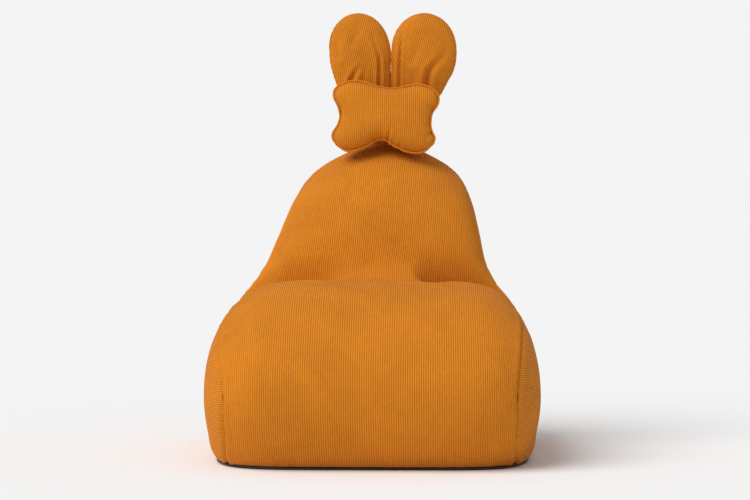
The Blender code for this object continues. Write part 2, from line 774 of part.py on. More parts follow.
def inner_face_y(z, inset, half):
    """Y of the skin at height z, drawn in by inset, at the end of a window half as wide as half."""
    swings = np.linspace(0, 60, 241)
    turns = np.linspace(-40, 40, 161)
    grid = skin_points(turns[:, None], swings[None, :], inset)
    near = np.abs(grid[..., 2] - z) < 0.002
    inside = near & (np.abs(grid[..., 0]) <= half + 0.01)
    return float(grid[..., 1][inside].min())


ROUND_TURNS, INSIDE_TURNS = build_cover()
build_base(ROUND_TURNS)
build_inside(INSIDE_TURNS)
COVER_FACE = inner_face_y(COVER_ZIP_Z, COVER_WALL, COVER_ZIP_HALF) - FACET_ROOM
LINER_FACE = inner_face_y(LINER_ZIP_Z, LINER_INSET + LINER_WALL, LINER_ZIP_HALF) - FACET_ROOM
build_zip("cover_zip", COVER_FACE, COVER_ZIP_Z, COVER_ZIP_HALF, with_pull=True)
build_zip("liner_zip", LINER_FACE, LINER_ZIP_Z, LINER_ZIP_HALF, with_pull=False)
build_ears()
build_pillow()
build_band()
build_handle()
print("zip faces", round(COVER_FACE, 5), round(LINER_FACE, 5), "pull pin", round(pin_y(COVER_FACE), 5))
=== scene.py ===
# %% [markdown]
# # A child's bean bag chair in wide-wale corduroy
# The real chair is a sewn corduroy cover, zipped over a liner full of expanded beads. It has a
# front and seat panel, a backrest panel, two side gussets, a two-piece rear and a black base, and
# it carries two padded ears and a bone-shaped head cushion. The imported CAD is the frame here: every
# soft piece is made again as fine cloth, in the place that its CAD solid holds.

# %% Load the frame
import math

import bmesh
import bpy
import numpy as np
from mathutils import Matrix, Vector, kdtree


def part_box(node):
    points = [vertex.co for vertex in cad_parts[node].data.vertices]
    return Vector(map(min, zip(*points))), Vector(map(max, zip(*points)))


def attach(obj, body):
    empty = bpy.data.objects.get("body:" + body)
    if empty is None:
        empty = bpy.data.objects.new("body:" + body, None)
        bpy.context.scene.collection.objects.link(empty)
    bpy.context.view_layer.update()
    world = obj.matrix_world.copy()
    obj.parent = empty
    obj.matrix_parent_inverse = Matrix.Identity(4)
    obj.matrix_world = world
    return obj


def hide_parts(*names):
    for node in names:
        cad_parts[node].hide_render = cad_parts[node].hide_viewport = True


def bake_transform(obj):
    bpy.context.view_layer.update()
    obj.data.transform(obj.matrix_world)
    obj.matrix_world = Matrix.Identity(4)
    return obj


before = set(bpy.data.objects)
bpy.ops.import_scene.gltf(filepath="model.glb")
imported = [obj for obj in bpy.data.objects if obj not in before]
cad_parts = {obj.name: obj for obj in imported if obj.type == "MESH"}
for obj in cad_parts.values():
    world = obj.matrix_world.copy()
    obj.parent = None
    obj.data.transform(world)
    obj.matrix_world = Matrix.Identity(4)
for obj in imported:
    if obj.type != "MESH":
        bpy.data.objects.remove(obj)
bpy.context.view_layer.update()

# %% [markdown]
# ## Camera, floor and light
# A product picture of a chair is taken with a long lens from a few metres away, at about half the
# chair's height, so that its sides hardly converge. The floor is a wide matt sheet, lit evenly so
# that far away it has the surround's own brightness, and no horizon shows from any side. The light
# is one broad source at the upper left, as soft as a window's, with a dimmer surround.

# %% Camera
FRONT_Y = float(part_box("seat_panel")[0][1])
CAMERA_DISTANCE, CAMERA_HEIGHT, CAMERA_SIDE = 4.0, 0.50, 0.114
CAMERA_DROP, CAMERA_TURN = 1.21, 1.47  # degrees: down, and round to the left
LENS, SENSOR = 104.4, 36.0  # millimetres
camera_data = bpy.data.cameras.new("camera")
camera_data.lens = LENS
camera_data.sensor_width = SENSOR
camera = bpy.data.objects.new("camera", camera_data)
camera.location = (CAMERA_SIDE, FRONT_Y - CAMERA_DISTANCE, CAMERA_HEIGHT)
camera.rotation_euler = (math.radians(90 - CAMERA_DROP), 0, math.radians(CAMERA_TURN))
bpy.context.scene.collection.objects.link(camera)
bpy.context.scene.camera = camera
bpy.context.scene.view_settings.view_transform = "Standard"
print("camera at", [round(c, 3) for c in camera.location])


# %% Colours and nodes
def linear(hex_code):
    """A hex sRGB colour as linear RGBA, which is what shaders take."""
    channels = [int(hex_code[i : i + 2], 16) / 255 for i in (1, 3, 5)]
    return [c / 12.92 if c <= 0.04045 else ((c + 0.055) / 1.055) ** 2.4 for c in channels] + [1.0]


def node(tree, kind, settings=None, **links):
    """Adds a node with its settings. links give its inputs, by name, a number, a colour or a socket."""
    made = tree.nodes.new(kind)
    for key, value in (settings or {}).items():
        setattr(made, key, value)
    for key, value in links.items():
        name = key.replace("_", " ")
        socket = made.inputs[int(key[1:])] if key[0] == "i" and key[1:].isdigit() else made.inputs[name]
        if isinstance(value, bpy.types.NodeSocket):
            tree.links.new(value, socket)
        else:
            socket.default_value = value
    return made


def new_material(name):
    """An empty Principled material: (material, tree, shader)."""
    made = bpy.data.materials.new(name)
    made.use_nodes = True
    return made, made.node_tree, made.node_tree.nodes["Principled BSDF"]


def mesh_object(name, verts, faces, material, attributes=None):
    """A smooth-shaded mesh object in the CAD's frame, with float values per point."""
    mesh = bpy.data.meshes.new(name)
    mesh.from_pydata([tuple(v) for v in verts], [], faces)
    for key, values in (attributes or {}).items():
        layer = mesh.attributes.new(key, "FLOAT", "POINT")
        layer.data.foreach_set("value", np.asarray(values, np.float32))
    mesh.polygons.foreach_set("use_smooth", [True] * len(mesh.polygons))
    mesh.update()
    made = bpy.data.objects.new(name, mesh)
    bpy.context.scene.collection.objects.link(made)
    mesh.materials.append(material)
    return made


# %% Small jobs that many pieces share
def ring_faces(rows, columns, closed=False):
    """Squares between rings of points, one ring a row. closed joins the last ring to the first."""
    faces = []
    for i in range(rows if closed else rows - 1):
        a, b = i * columns, (i + 1) % rows * columns
        faces += [(a + j, a + (j + 1) % columns, b + (j + 1) % columns, b + j) for j in range(columns)]
    return faces


def end_caps(rows, columns):
    """The two faces that close a tube of rings."""
    return [tuple(range(columns))[::-1], tuple((rows - 1) * columns + j for j in range(columns))]


def turn_outward(obj):
    """Turns the faces of a closed mesh outward."""
    bm = bmesh.new()
    bm.from_mesh(obj.data)
    bmesh.ops.recalc_face_normals(bm, faces=bm.faces[:])
    bm.to_mesh(obj.data)
    bm.free()


def dress(obj, nodes=(), body=None):
    """Hides the CAD nodes a piece stands for, hangs it on its body and prints its face count."""
    if nodes:
        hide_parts(*nodes)
    if body:
        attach(obj, body)
    print(obj.name, len(obj.data.polygons), "faces")
    return obj


# %% Floor and light
BACKDROP = "#F4F4F4"  # what the surround and the far floor look like
PAPER = "#F5F5F5"
SURROUND_LIGHT = 0.46  # the surround's own light on the chair
KEY_HEIGHT, KEY_SIDE, KEY_SPREAD = 47.0, -50.0, 44.0  # degrees: up, round from the front, and across
paper, tree, shader = new_material("matt backdrop paper")
shader.inputs["Base Color"].default_value = linear(PAPER)
shader.inputs["Roughness"].default_value = 0.9
shader.inputs["Specular IOR Level"].default_value = 0.0
FLOOR_REACH = 60.0
verts = [(x, y, 0.0) for x in (-FLOOR_REACH, FLOOR_REACH) for y in (-FLOOR_REACH, FLOOR_REACH)]
mesh_object("paper_floor", verts, [(0, 2, 3, 1)], paper)
key_light = bpy.data.lights.new("key_window", "SUN")
key_light.angle = math.radians(KEY_SPREAD)
wanted_light = linear(BACKDROP)[0] / linear(PAPER)[0] - SURROUND_LIGHT  # so that paper matches backdrop
key_light.energy = math.pi * wanted_light / math.sin(math.radians(KEY_HEIGHT))
key = bpy.data.objects.new("key_window", key_light)
key.rotation_euler = (math.radians(90 - KEY_HEIGHT), 0, math.radians(KEY_SIDE))
bpy.context.scene.collection.objects.link(key)
world = bpy.data.worlds.new("studio surround")
world.use_nodes = True
tree = world.node_tree
surround = tree.nodes["Background"]
surround.inputs["Color"].default_value = linear("#FFFFFF")
surround.inputs["Strength"].default_value = SURROUND_LIGHT
seen = node(tree, "ShaderNodeBackground", Color=linear(BACKDROP), Strength=1.0)
rays = node(tree, "ShaderNodeLightPath")
ray = rays.outputs["Is Camera Ray"]
both = node(tree, "ShaderNodeMixShader", i0=ray, i1=surround.outputs[0], i2=seen.outputs[0])
tree.links.new(both.outputs[0], tree.nodes["World Output"].inputs["Surface"])
bpy.context.scene.world = world
print("key light", round(key_light.energy, 2), "W/m2")

# %% [markdown]
# ## Corduroy
# Corduroy is a cotton cut pile: rows of velvety wales, with a bare groove between. Light catches
# the soft crowns and dies in the grooves, and the nap shows lighter or darker patches where it has
# been brushed over. Here each panel is cut with the wales as real ridges, four points to a wale, and
# the finish adds what is finer: painted shade that darkens each groove, the brushed patches and the
# pile's fuzz. Each piece carries a value named wale that counts the wales across it, so the pattern
# follows the cloth and not the room.

# %% Corduroy finish
WALE = 0.0254 / 6  # six wales to the inch
PILE = 0.0012  # tufts of pile: real ones are 0.3 mm, drawn coarser to show
BRUSHED = 1 / 11  # patches where the nap lies another way are about 90 mm across


def corduroy(name, crown, groove):
    """Cut-pile cotton, woven with wales and brushed. It is rough, with the soft rim light of velvet. groove is
    painted shade: the crown colour darkened where the wales shade the bare groove.
    """
    made, tree, shader = new_material(name)
    wale = node(tree, "ShaderNodeAttribute", {"attribute_name": "wale"})
    times = {"operation": "MULTIPLY"}
    turn = node(tree, "ShaderNodeMath", times, i0=wale.outputs["Fac"], i1=2 * math.pi)
    wave = node(tree, "ShaderNodeMath", {"operation": "COSINE"}, i0=turn.outputs[0])
    smooth = {"interpolation_type": "SMOOTHSTEP"}
    depth = node(tree, "ShaderNodeMapRange", smooth, Value=wave.outputs[0], From_Min=-0.5, From_Max=1.0)
    where = node(tree, "ShaderNodeTexCoord").outputs["Object"]
    patches = {"Scale": 1 / BRUSHED, "Detail": 3.0, "Roughness": 0.55, "Distortion": 0.6}
    brushed = node(tree, "ShaderNodeTexNoise", Vector=where, **patches)
    streaks = node(tree, "ShaderNodeMapping", Vector=where, Scale=(1 / 0.004, 1 / 0.012, 1 / 0.012))
    streak = node(tree, "ShaderNodeTexNoise", Vector=streaks.outputs[0], Scale=1.0, Detail=2.0)
    tufts = node(tree, "ShaderNodeTexNoise", Vector=where, Scale=1 / PILE, Detail=2.0)
    # painted shade: the groove colour is mixed in where the wale's cosine puts the bare groove
    colours = {"i6": linear(crown), "i7": linear(groove)}
    cloth = node(tree, "ShaderNodeMix", {"data_type": "RGBA"}, Factor=depth.outputs["Result"], **colours)
    shades = []
    for noise, low, high in ((brushed, 0.93, 1.06), (streak, 0.95, 1.05)):
        range_of = {"From_Min": 0.3, "From_Max": 0.7, "To_Min": low, "To_Max": high}
        shades.append(node(tree, "ShaderNodeMapRange", Value=noise.outputs["Fac"], **range_of).outputs[0])
    value = node(tree, "ShaderNodeMath", times, i0=shades[0], i1=shades[1])
    colour = node(tree, "ShaderNodeHueSaturation", Value=value.outputs[0], Color=cloth.outputs[2])
    tree.links.new(colour.outputs[0], shader.inputs["Base Color"])
    rib = {"Height": depth.outputs["Result"], "Distance": 0.0006, "Strength": 0.6}
    bump_rib = node(tree, "ShaderNodeBump", {"invert": True}, **rib)
    tuft = {"Height": tufts.outputs["Fac"], "Distance": 0.0005, "Strength": 0.55}
    bump = node(tree, "ShaderNodeBump", Normal=bump_rib.outputs[0], **tuft)
    tree.links.new(bump.outputs[0], shader.inputs["Normal"])
    shader.inputs["Roughness"].default_value = 0.92
    shader.inputs["Specular IOR Level"].default_value = 0.25
    shader.inputs["Sheen Weight"].default_value = 0.06
    shader.inputs["Sheen Roughness"].default_value = 0.45
    shader.inputs["Sheen Tint"].default_value = linear("#FFC987")
    return made


# the second colour is painted shade for the grooves between the wales
CORDUROY = corduroy("mustard wide-wale corduroy", "#D9821B", "#BA6E12")

# %% [markdown]
# ## The bag's form
# The bag is drawn as one smooth skin round a core axis that runs from side to side, the same way as
# in the CAD. A point on it has two angles: turn goes round the axis, from under the front hem, over
# the seat, up the backrest and down the rear, and swing goes from the middle out to a flank. One
# function gives the whole skin, so neighbouring panels always meet at their seam.

# %% Stations of the form
CORE_Y, CORE_Z = 0.10, 0.21
SIDE_PROFILE = (
    (-0.120, -0.045), (-0.200, -0.032), (-0.272, 0.002), (-0.322, 0.055), (-0.350, 0.140),
    (-0.336, 0.205), (-0.298, 0.256), (-0.240, 0.302), (-0.180, 0.332), (-0.112, 0.346),
    (-0.040, 0.338), (0.012, 0.322), (0.006, 0.362), (0.002, 0.405), (0.018, 0.470),
    (0.050, 0.530), (0.095, 0.580), (0.150, 0.612), (0.200, 0.625), (0.245, 0.611),
    (0.290, 0.560), (0.325, 0.450), (0.346, 0.300), (0.350, 0.200), (0.346, 0.100),
    (0.322, 0.032), (0.285, -0.010), (0.200, -0.040), (0.000, -0.050),
)
CREASE_POINT, RIDGE_POINT = (0.012, 0.322), (0.200, 0.625)
WIDTH_STATIONS = (
    (-0.050, 0.284), (0.000, 0.3225), (0.060, 0.3250), (0.135, 0.3275), (0.200, 0.3215),
    (0.245, 0.3095), (0.285, 0.2895), (0.310, 0.2715), (0.335, 0.2505), (0.370, 0.2290),
    (0.430, 0.2115), (0.500, 0.1985), (0.530, 0.1935), (0.553, 0.1900), (0.578, 0.1800),
    (0.602, 0.1600), (0.645, 0.1200),
)
FLANK_POWER = 6.0
FRONT_POWERS = (
    (-130.0, 5.5), (-60.0, 6.0), (10.0, 6.0), (45.0, 4.0), (66.0, 2.6), (112.0, 2.6),
    (136.0, 5.0), (180.0, 5.2),
)
SEAM_SHARES = (
    (-130.0, 0.915), (-40.0, 0.87), (20.0, 0.87), (45.0, 0.62), (62.0, 0.45), (90.0, 0.40),
    (112.0, 0.45), (121.0, 0.57), (128.0, 0.74), (135.0, 0.66), (142.0, 0.60), (158.0, 0.62),
    (166.0, 0.70), (174.0, 0.82), (184.0, 0.90), (200.0, 0.915),
)
LEAN, LEAN_FROM = 0.087, 0.33
HEM_Z = 0.006


# %% The skin
def smooth_through(stations, period=None):
    """A function that runs smoothly through (place, value) stations, in order of place."""
    places = np.array([s[0] for s in stations], float)
    values = np.array([s[1] for s in stations], float)
    if period:
        places = np.concatenate([places - period, places, places + period])
        values = np.tile(values, 3)
    slopes = np.gradient(values, places)

    def value_at(place):
        place = np.clip(np.asarray(place, float), places[0], places[-1])
        left = np.clip(np.searchsorted(places, place) - 1, 0, len(places) - 2)
        span = places[left + 1] - places[left]
        t = (place - places[left]) / span
        rise = values[left + 1] - values[left]
        start_slope = slopes[left] * span * t * (1 - t) ** 2
        end_slope = slopes[left + 1] * span * t * t * (t - 1)
        return values[left] + rise * t * t * (3 - 2 * t) + start_slope + end_slope

    return value_at


def polar(point):
    """(turn in degrees, radius) of a (y, z) point round the core axis."""
    dy, dz = point[0] - CORE_Y, point[1] - CORE_Z
    turn = math.degrees(math.atan2(dz, dy))
    return (turn + 360.0 if turn < -130.0 else turn, math.hypot(dy, dz))


profile_radius = smooth_through(sorted(polar(p) for p in SIDE_PROFILE), period=360.0)
half_width = smooth_through(WIDTH_STATIONS)
front_power = smooth_through(FRONT_POWERS, period=360.0)
seam_share = smooth_through(SEAM_SHARES, period=360.0)
CREASE, RIDGE = polar(CREASE_POINT)[0], polar(RIDGE_POINT)[0]


def lean_at(z):
    above = np.maximum(np.asarray(z, float) - LEAN_FROM, 0.0)
    return LEAN * above * above / (above + 0.04)


def skin_points(turn, swing, inset=0.0):
    """Points (..., 3) of the skin. swing is -90 to 90 degrees, and its sign is X's."""
    turn, swing = np.broadcast_arrays(np.asarray(turn, float), np.asarray(swing, float))
    bend = np.radians(np.abs(swing))
    share = np.maximum(np.cos(bend), 0.0) ** (2 / FLANK_POWER)
    across = np.sin(bend) ** (2 / front_power(turn))
    radius = (profile_radius(turn) - inset) * share
    y = CORE_Y + radius * np.cos(np.radians(turn))
    z = CORE_Z + radius * np.sin(np.radians(turn))
    x = np.sign(swing) * across * (half_width(z) - inset) + lean_at(z)
    return np.stack([x, y, z], axis=-1)


def seam_swing(turn):
    """The swing at which the side gusset's seam runs."""
    return np.degrees(np.arccos(seam_share(turn) ** (FLANK_POWER / 2)))


def lengths(points):
    """Distance along a line of points, from 0."""
    return np.concatenate([[0], np.cumsum(np.linalg.norm(np.diff(points, axis=0), axis=1))])


def even_turns(first, last, step):
    """Turns from first to last, a step in metres apart along the middle section."""
    fine = np.linspace(first, last, 1500)
    run = lengths(skin_points(fine, 0.0))
    return np.interp(np.linspace(0, run[-1], max(2, round(run[-1] / step)) + 1), run, fine)


for name, turn in (("front", 188.0), ("seat", 150.0), ("backrest", 95.0)):
    print(name, "seam at x", round(float(skin_points(turn, seam_swing(turn))[0]), 3))

# %% [markdown]
# ## Cutting cloth
# Real corduroy keeps its wales evenly spaced: where a panel narrows, the seam cuts wales off and
# they don't bunch together. So a panel is knitted from strips of points. A strip's inner points sit
# on whole quarter wales, and only its two ends sit on the seam. Neighbouring strips are joined
# by squares where they share wales, and by small triangles where the seam cuts one off.


# %% Knit strips into a skin
def zip_ends(chain_a, chain_b, where):
    """Triangles between two short chains of point numbers."""
    faces, i, j = [], 0, 0
    while i < len(chain_a) - 1 or j < len(chain_b) - 1:
        step_a = i < len(chain_a) - 1
        if step_a and j < len(chain_b) - 1:
            gap_a = np.linalg.norm(where[chain_a[i + 1]] - where[chain_b[j]])
            gap_b = np.linalg.norm(where[chain_a[i]] - where[chain_b[j + 1]])
            step_a = gap_a <= gap_b
        if step_a:
            faces.append((chain_a[i], chain_a[i + 1], chain_b[j]))
            i += 1
        else:
            faces.append((chain_a[i], chain_b[j + 1], chain_b[j]))
            j += 1
    return faces


def knit(strips):
    """strips are (first wale number, points, wales), ends included. Returns points, wales and faces."""
    where = np.concatenate([s[1] for s in strips])
    wales = np.concatenate([s[2] for s in strips])
    faces, start = [], 0
    for (k0, a, _), (m0, b, _) in zip(strips, strips[1:]):
        first_a, first_b = start, start + len(a)
        start = first_b
        lo = max(k0, m0)
        hi = min(k0 + len(a) - 3, m0 + len(b) - 3)
        if lo > hi:
            row_a = list(range(first_a, first_a + len(a)))
            row_b = list(range(first_b, first_b + len(b)))
            faces += zip_ends(row_a, row_b, where)
            continue
        at_a = lambda k: first_a + 1 + k - k0
        at_b = lambda k: first_b + 1 + k - m0
        end_a, end_b = first_a + len(a), first_b + len(b)
        faces += zip_ends([*range(first_a, at_a(lo) + 1)], [*range(first_b, at_b(lo) + 1)], where)
        faces += [(at_a(k), at_a(k + 1), at_b(k + 1), at_b(k)) for k in range(lo, hi)]
        faces += zip_ends([*range(at_a(hi), end_a)], [*range(at_b(hi), end_b)], where)
    return where, wales, faces


QUARTER = WALE / 4


def strip_between(line, along, low, high):
    """A strip on a fine line of points, from low to high, with a point at each quarter wale between."""
    k0, k1 = math.ceil(low / QUARTER + 0.3), math.floor(high / QUARTER - 0.3)
    if k1 < k0:
        k0 = k1 = round((low + high) / 2 / QUARTER)
    marks = np.concatenate([[low], np.arange(k0, k1 + 1) * QUARTER, [high]])
    points = np.stack([np.interp(marks, along, line[:, i]) for i in range(3)], axis=1)
    return k0, points, marks / WALE


# %% [markdown]
# ## Slack, seams and puckers
# A bean bag's cover isn't taut. It swells softly where the beads push, sinks into a groove along
# each seam, and puckers where a seam has gathered it or where it is pulled down to the hem. These
# are all added along the skin's own normals, and both sides of a seam read the same values.


# %% Relief of the bag's cloth
def swell(points, size, seed):
    """Soft random hills about size metres across, from -1 to 1."""
    rng = np.random.default_rng(seed)
    total = np.zeros(len(points))
    for _ in range(9):
        way = rng.normal(size=3)
        way *= rng.uniform(0.6, 1.4) * 2 * math.pi / (size * 2 * np.linalg.norm(way))
        total += np.sin(points @ way + rng.uniform(0, 2 * math.pi))
    return np.tanh(total / 3.2)


def ripple(along, size, seed):
    """Uneven ripples about size metres apart along a seam."""
    rng = np.random.default_rng(seed)
    total = np.zeros(len(along))
    for _ in range(5):
        apart = size * rng.uniform(0.7, 1.5)
        total += np.sin(2 * math.pi * along / apart + rng.uniform(0, 2 * math.pi))
    return np.tanh(total / 2.0)


class SeamMap:
    """Finds the nearest seam of the bag."""

    def __init__(self, lines):
        self.tree = kdtree.KDTree(sum(len(line) for line in lines.values()))
        self.kind, self.run = [], []
        for kind, line in lines.items():
            for point, run in zip(line, lengths(line)):
                self.tree.insert(point, len(self.kind))
                self.kind.append(kind)
                self.run.append(run)
        self.tree.balance()

    def look(self, points):
        """(distance, place along the seam, kind) of each point."""
        found = [self.tree.find(p) for p in points]
        index = [f[1] for f in found]
        return (
            np.array([f[2] for f in found]),
            np.array([self.run[i] for i in index]),
            np.array([self.kind[i] for i in index]),
        )


fine_turns = np.linspace(-129.0, 229.0, 2600)
crease_swing = np.linspace(-float(seam_swing(CREASE)), float(seam_swing(CREASE)), 300)
ridge_swing = np.linspace(-float(seam_swing(RIDGE)), float(seam_swing(RIDGE)), 200)
SEAMS = SeamMap(
    {
        "left": skin_points(fine_turns, -seam_swing(fine_turns)),
        "right": skin_points(fine_turns, seam_swing(fine_turns)),
        "crease": skin_points(CREASE, crease_swing),
        "ridge": skin_points(RIDGE, ridge_swing),
    }
)


SEAT_ROLLS = (  # (x of a roll's middle, half length along X, height)
    (0.195, 0.065, 0.0090),
    (-0.165, 0.075, 0.0060),
)
FILLED_CREASE = (  # the side profile past the crease where the beads fill it
    (-0.112, 0.346), (-0.060, 0.350), (-0.025, 0.362), (-0.006, 0.390), (0.004, 0.425),
    (0.018, 0.470),
)
filled_places = sorted(polar(p) for p in FILLED_CREASE)
filled_radius = smooth_through(filled_places)


def filled_part(x):
    """How far the beads fill the crease at X, from 0 to 1. At the right the seat folds up sharply."""
    part = 0.30 + 0.70 * np.exp(-(((x - 0.02) / 0.115) ** 4))
    t = np.clip((x - 0.075) / 0.070, 0, 1)
    part *= 1 - t * t * (3 - 2 * t)
    return part * np.clip((0.25 - np.abs(x)) / 0.05, 0, 1)


def crease_fill(points):
    """How far to carry the skin out of the crease, to where the beads under it hold it."""
    x, y, z = points.T
    turn = np.arctan2(z - CORE_Z, y - CORE_Y)
    inside = (np.degrees(turn) > filled_places[0][0]) & (np.degrees(turn) < filled_places[-1][0])
    gain = np.maximum(filled_radius(np.degrees(turn)) - profile_radius(np.degrees(turn)), 0.0)
    size = inside * gain * filled_part(x)
    return size[:, None] * np.stack([np.zeros(len(x)), np.cos(turn), np.sin(turn)], axis=1)


def crease_rolls(points):
    """The rolls of the seat's edge, where it is pushed up against the backrest."""
    x, y, z = points.T
    on_seat = np.exp(-(((y + 0.045) / 0.042) ** 2)) * np.clip((z - 0.27) / 0.04, 0, 1) * (z < 0.40)
    on_seat *= np.clip((CREASE_POINT[0] - y) / 0.012, 0, 1)
    total = np.zeros(len(points))
    for middle, half, high in SEAT_ROLLS:
        total += high * np.exp(-(((x - middle) / half) ** 4))
    return total * on_seat


ZIP_DIP_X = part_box("cover_zip_tape_upper")[1][0] + 0.006  # the zip's end pulls the cloth in beside it
ZIP_DIP_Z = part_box("cover_zip_tape_upper")[0][2]
GROOVE_DEEP, GROOVE_HALF = 0.0032, 0.0038  # the dip along a seam
SHOULDER_HIGH, SHOULDER_OUT, SHOULDER_HALF = 0.0012, 0.011, 0.007  # the slight swell beside it
PUCKER, PUCKER_REACH, PUCKER_APART = 0.0007, 0.022, 0.041


def bag_relief(points, normals):
    """How far the cover stands off the plain skin, in metres."""
    gap, along, kind = SEAMS.look(points)
    z = points[:, 2]
    side_seam = (kind == "left") | (kind == "right")
    groove = -GROOVE_DEEP * np.exp(-((gap / GROOVE_HALF) ** 2))
    groove += SHOULDER_HIGH * np.exp(-(((gap - SHOULDER_OUT) / SHOULDER_HALF) ** 2))
    gather = ripple(along + 3.0 * (kind == "right"), PUCKER_APART, 5) * np.exp(-gap / PUCKER_REACH)
    patchy = 0.35 + 0.65 * np.clip(swell(points, 0.20, 11), 0, 1)
    near_crease = np.exp(-(((z - 0.325) / 0.045) ** 2)) * side_seam
    pull = np.where(side_seam, PUCKER, 0.0006) * patchy + 0.0016 * near_crease
    hem = np.exp(-np.maximum(z - HEM_Z, 0) / 0.016)
    hem_run = points[:, 0] + points[:, 1]
    hem_pull = 0.0006 * hem * ripple(hem_run, 0.046, 9) * patchy
    soft = 0.0022 * swell(points, 0.19, 2) + 0.0007 * swell(points, 0.075, 3)
    soft *= np.clip((z - 0.02) / 0.08, 0, 1)
    tight = np.where(kind == "crease", 1 - filled_part(points[:, 0]), 1.0)
    beside = np.exp(-(((points[:, 0] - ZIP_DIP_X) / 0.018) ** 2) - ((z - ZIP_DIP_Z) / 0.011) ** 2)
    zip_dip = -0.0034 * beside * (points[:, 1] > 0.3)
    return tight * (groove + pull * gather) + hem_pull + soft + crease_rolls(points) + zip_dip


def raised(obj, relief, wale_height=0.0006, shift=None):
    """Moves each point by shift, then along its new normal by relief plus the height of its wale."""
    mesh = obj.data
    count = len(mesh.vertices)
    points, normals, wale = np.empty(count * 3), np.empty(count * 3), np.empty(count)
    mesh.vertices.foreach_get("co", points)
    points = points.reshape(-1, 3)
    moved = points + shift(points) if shift else points
    mesh.vertices.foreach_set("co", moved.ravel())
    mesh.update()
    mesh.vertex_normals.foreach_get("vector", normals)
    normals = normals.reshape(-1, 3)
    mesh.attributes["wale"].data.foreach_get("value", wale)
    crown = 1 - ((np.cos(2 * math.pi * wale) + 1) / 2) ** 1.6
    lift = relief(points, normals) + wale_height * (crown - 1)
    moved = moved + normals * lift[:, None]
    mesh.vertices.foreach_set("co", moved.ravel())
    mesh.update()
    return obj


def keep_above(obj, point, normal):
    """Cuts a mesh with a plane and keeps the side that the normal points to."""
    bm = bmesh.new()
    bm.from_mesh(obj.data)
    whole = bm.verts[:] + bm.edges[:] + bm.faces[:]
    bmesh.ops.bisect_plane(bm, geom=whole, plane_co=point, plane_no=normal, clear_inner=True)
    bm.to_mesh(obj.data)
    bm.free()


def face_out(obj, centre):
    """Turns an open skin's faces away from a point."""
    mesh = obj.data
    count = len(mesh.polygons)
    middles, normals, areas = np.empty(count * 3), np.empty(count * 3), np.empty(count)
    mesh.polygons.foreach_get("center", middles)
    mesh.polygons.foreach_get("normal", normals)
    mesh.polygons.foreach_get("area", areas)
    away = ((middles.reshape(-1, 3) - centre) * normals.reshape(-1, 3)).sum(axis=1)
    if (away * areas).sum() < 0:
        mesh.flip_normals()


# %% [markdown]
# ## Seat, backrest and rear panels
# These three run across the bag between the two side seams, with their wales upright. Each row
# of the panel is one turn round the core axis, and wales are counted from the middle line.

# %% Panels between the side seams
ROW_STEP, COVER_FILL = 0.0055, 0.8
CORE = np.array([0.0, CORE_Y, CORE_Z])


def across_panel(name, node_name, first, last, planes=()):
    """A panel from turn first to turn last, cut with planes and set in place of its CAD node."""
    strips = []
    for turn in even_turns(first, last, ROW_STEP):
        edge = float(seam_swing(turn))
        line = skin_points(turn, np.linspace(-edge, edge, 900))
        run = lengths(line)
        middle = np.interp(0.0, np.linspace(-edge, edge, 900), run)
        strips.append(strip_between(line, run - middle, -middle, run[-1] - middle))
    points, wales, faces = knit(strips)
    made = mesh_object(name, points, faces, CORDUROY, {"wale": wales})
    for point, normal in planes:
        keep_above(made, point, normal)
    face_out(made, CORE)
    raised(made, bag_relief, shift=crease_fill)
    return dress(made, [node_name], "bag")


HEM_PLANE = ((0, 0, HEM_Z), (0, 0, 1))
front_hem = polar((-0.278, HEM_Z))[0] + 6.0
rear_hem = polar((0.300, HEM_Z))[0] - 10.0
across_panel("seat_cover", "seat_panel", front_hem, CREASE, [HEM_PLANE])
across_panel("backrest_cover", "backrest_panel", CREASE, RIDGE)

# %% [markdown]
# The rear is cut in two at the zip. Its window is a slot in the cloth, and the cloth's edges turn in
# beside the coils as two folded facings.

# %% Rear panels with the zip's window
ZIP_BOX = [np.array(corner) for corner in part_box("cover_zip_tape_upper")]
ZIP_Z = float(ZIP_BOX[0][2]) - 0.00065
ZIP_FACE = float(ZIP_BOX[1][1])
ZIP_HALF = 0.200
WINDOW_HALF_TALL, FACING_REACH = 0.0085, 0.0042


def rear_half(name, node_name, up):
    """The rear panel above or below the zip."""
    trims = [((0, 0, ZIP_Z), (0, 0, up))] + ([HEM_PLANE] if up < 0 else [])
    made = across_panel(name, node_name, RIDGE, rear_hem, trims)
    bm = bmesh.new()
    bm.from_mesh(made.data)
    edge_z = ZIP_Z + up * WINDOW_HALF_TALL
    for point, normal in (
        ((0, 0, edge_z), (0, 0, 1)),
        ((-ZIP_HALF, 0, 0), (1, 0, 0)),
        ((ZIP_HALF, 0, 0), (1, 0, 0)),
    ):
        near = [f for f in bm.faces if abs(f.calc_center_median().z - ZIP_Z) < 0.03]
        geom = list({v for f in near for v in f.verts} | {e for f in near for e in f.edges} | set(near))
        bmesh.ops.bisect_plane(bm, geom=geom, plane_co=point, plane_no=normal, dist=1e-6)
    inside = [
        f
        for f in bm.faces
        if abs(f.calc_center_median().x) < ZIP_HALF and (edge_z - f.calc_center_median().z) * up > 0
    ]
    bmesh.ops.delete(bm, geom=inside, context="FACES")
    rim = [
        e
        for e in bm.edges
        if e.is_boundary
        and all(abs(v.co.z - edge_z) < 1e-4 and abs(v.co.x) <= ZIP_HALF + 1e-4 for v in e.verts)
    ]
    grown = bmesh.ops.extrude_edge_only(bm, edges=rim)["geom"]
    fold = [g for g in grown if isinstance(g, bmesh.types.BMVert)]
    for vert in fold:
        vert.co.y -= 0.0022
        vert.co.z -= up * 0.0006
    fold_edges = [g for g in grown if isinstance(g, bmesh.types.BMEdge)]
    grown = bmesh.ops.extrude_edge_only(bm, edges=fold_edges)["geom"]
    for vert in (g for g in grown if isinstance(g, bmesh.types.BMVert)):
        vert.co.y = ZIP_FACE + 0.0005
        vert.co.z -= up * FACING_REACH
    bm.normal_update()
    bm.to_mesh(made.data)
    bm.free()
    return made


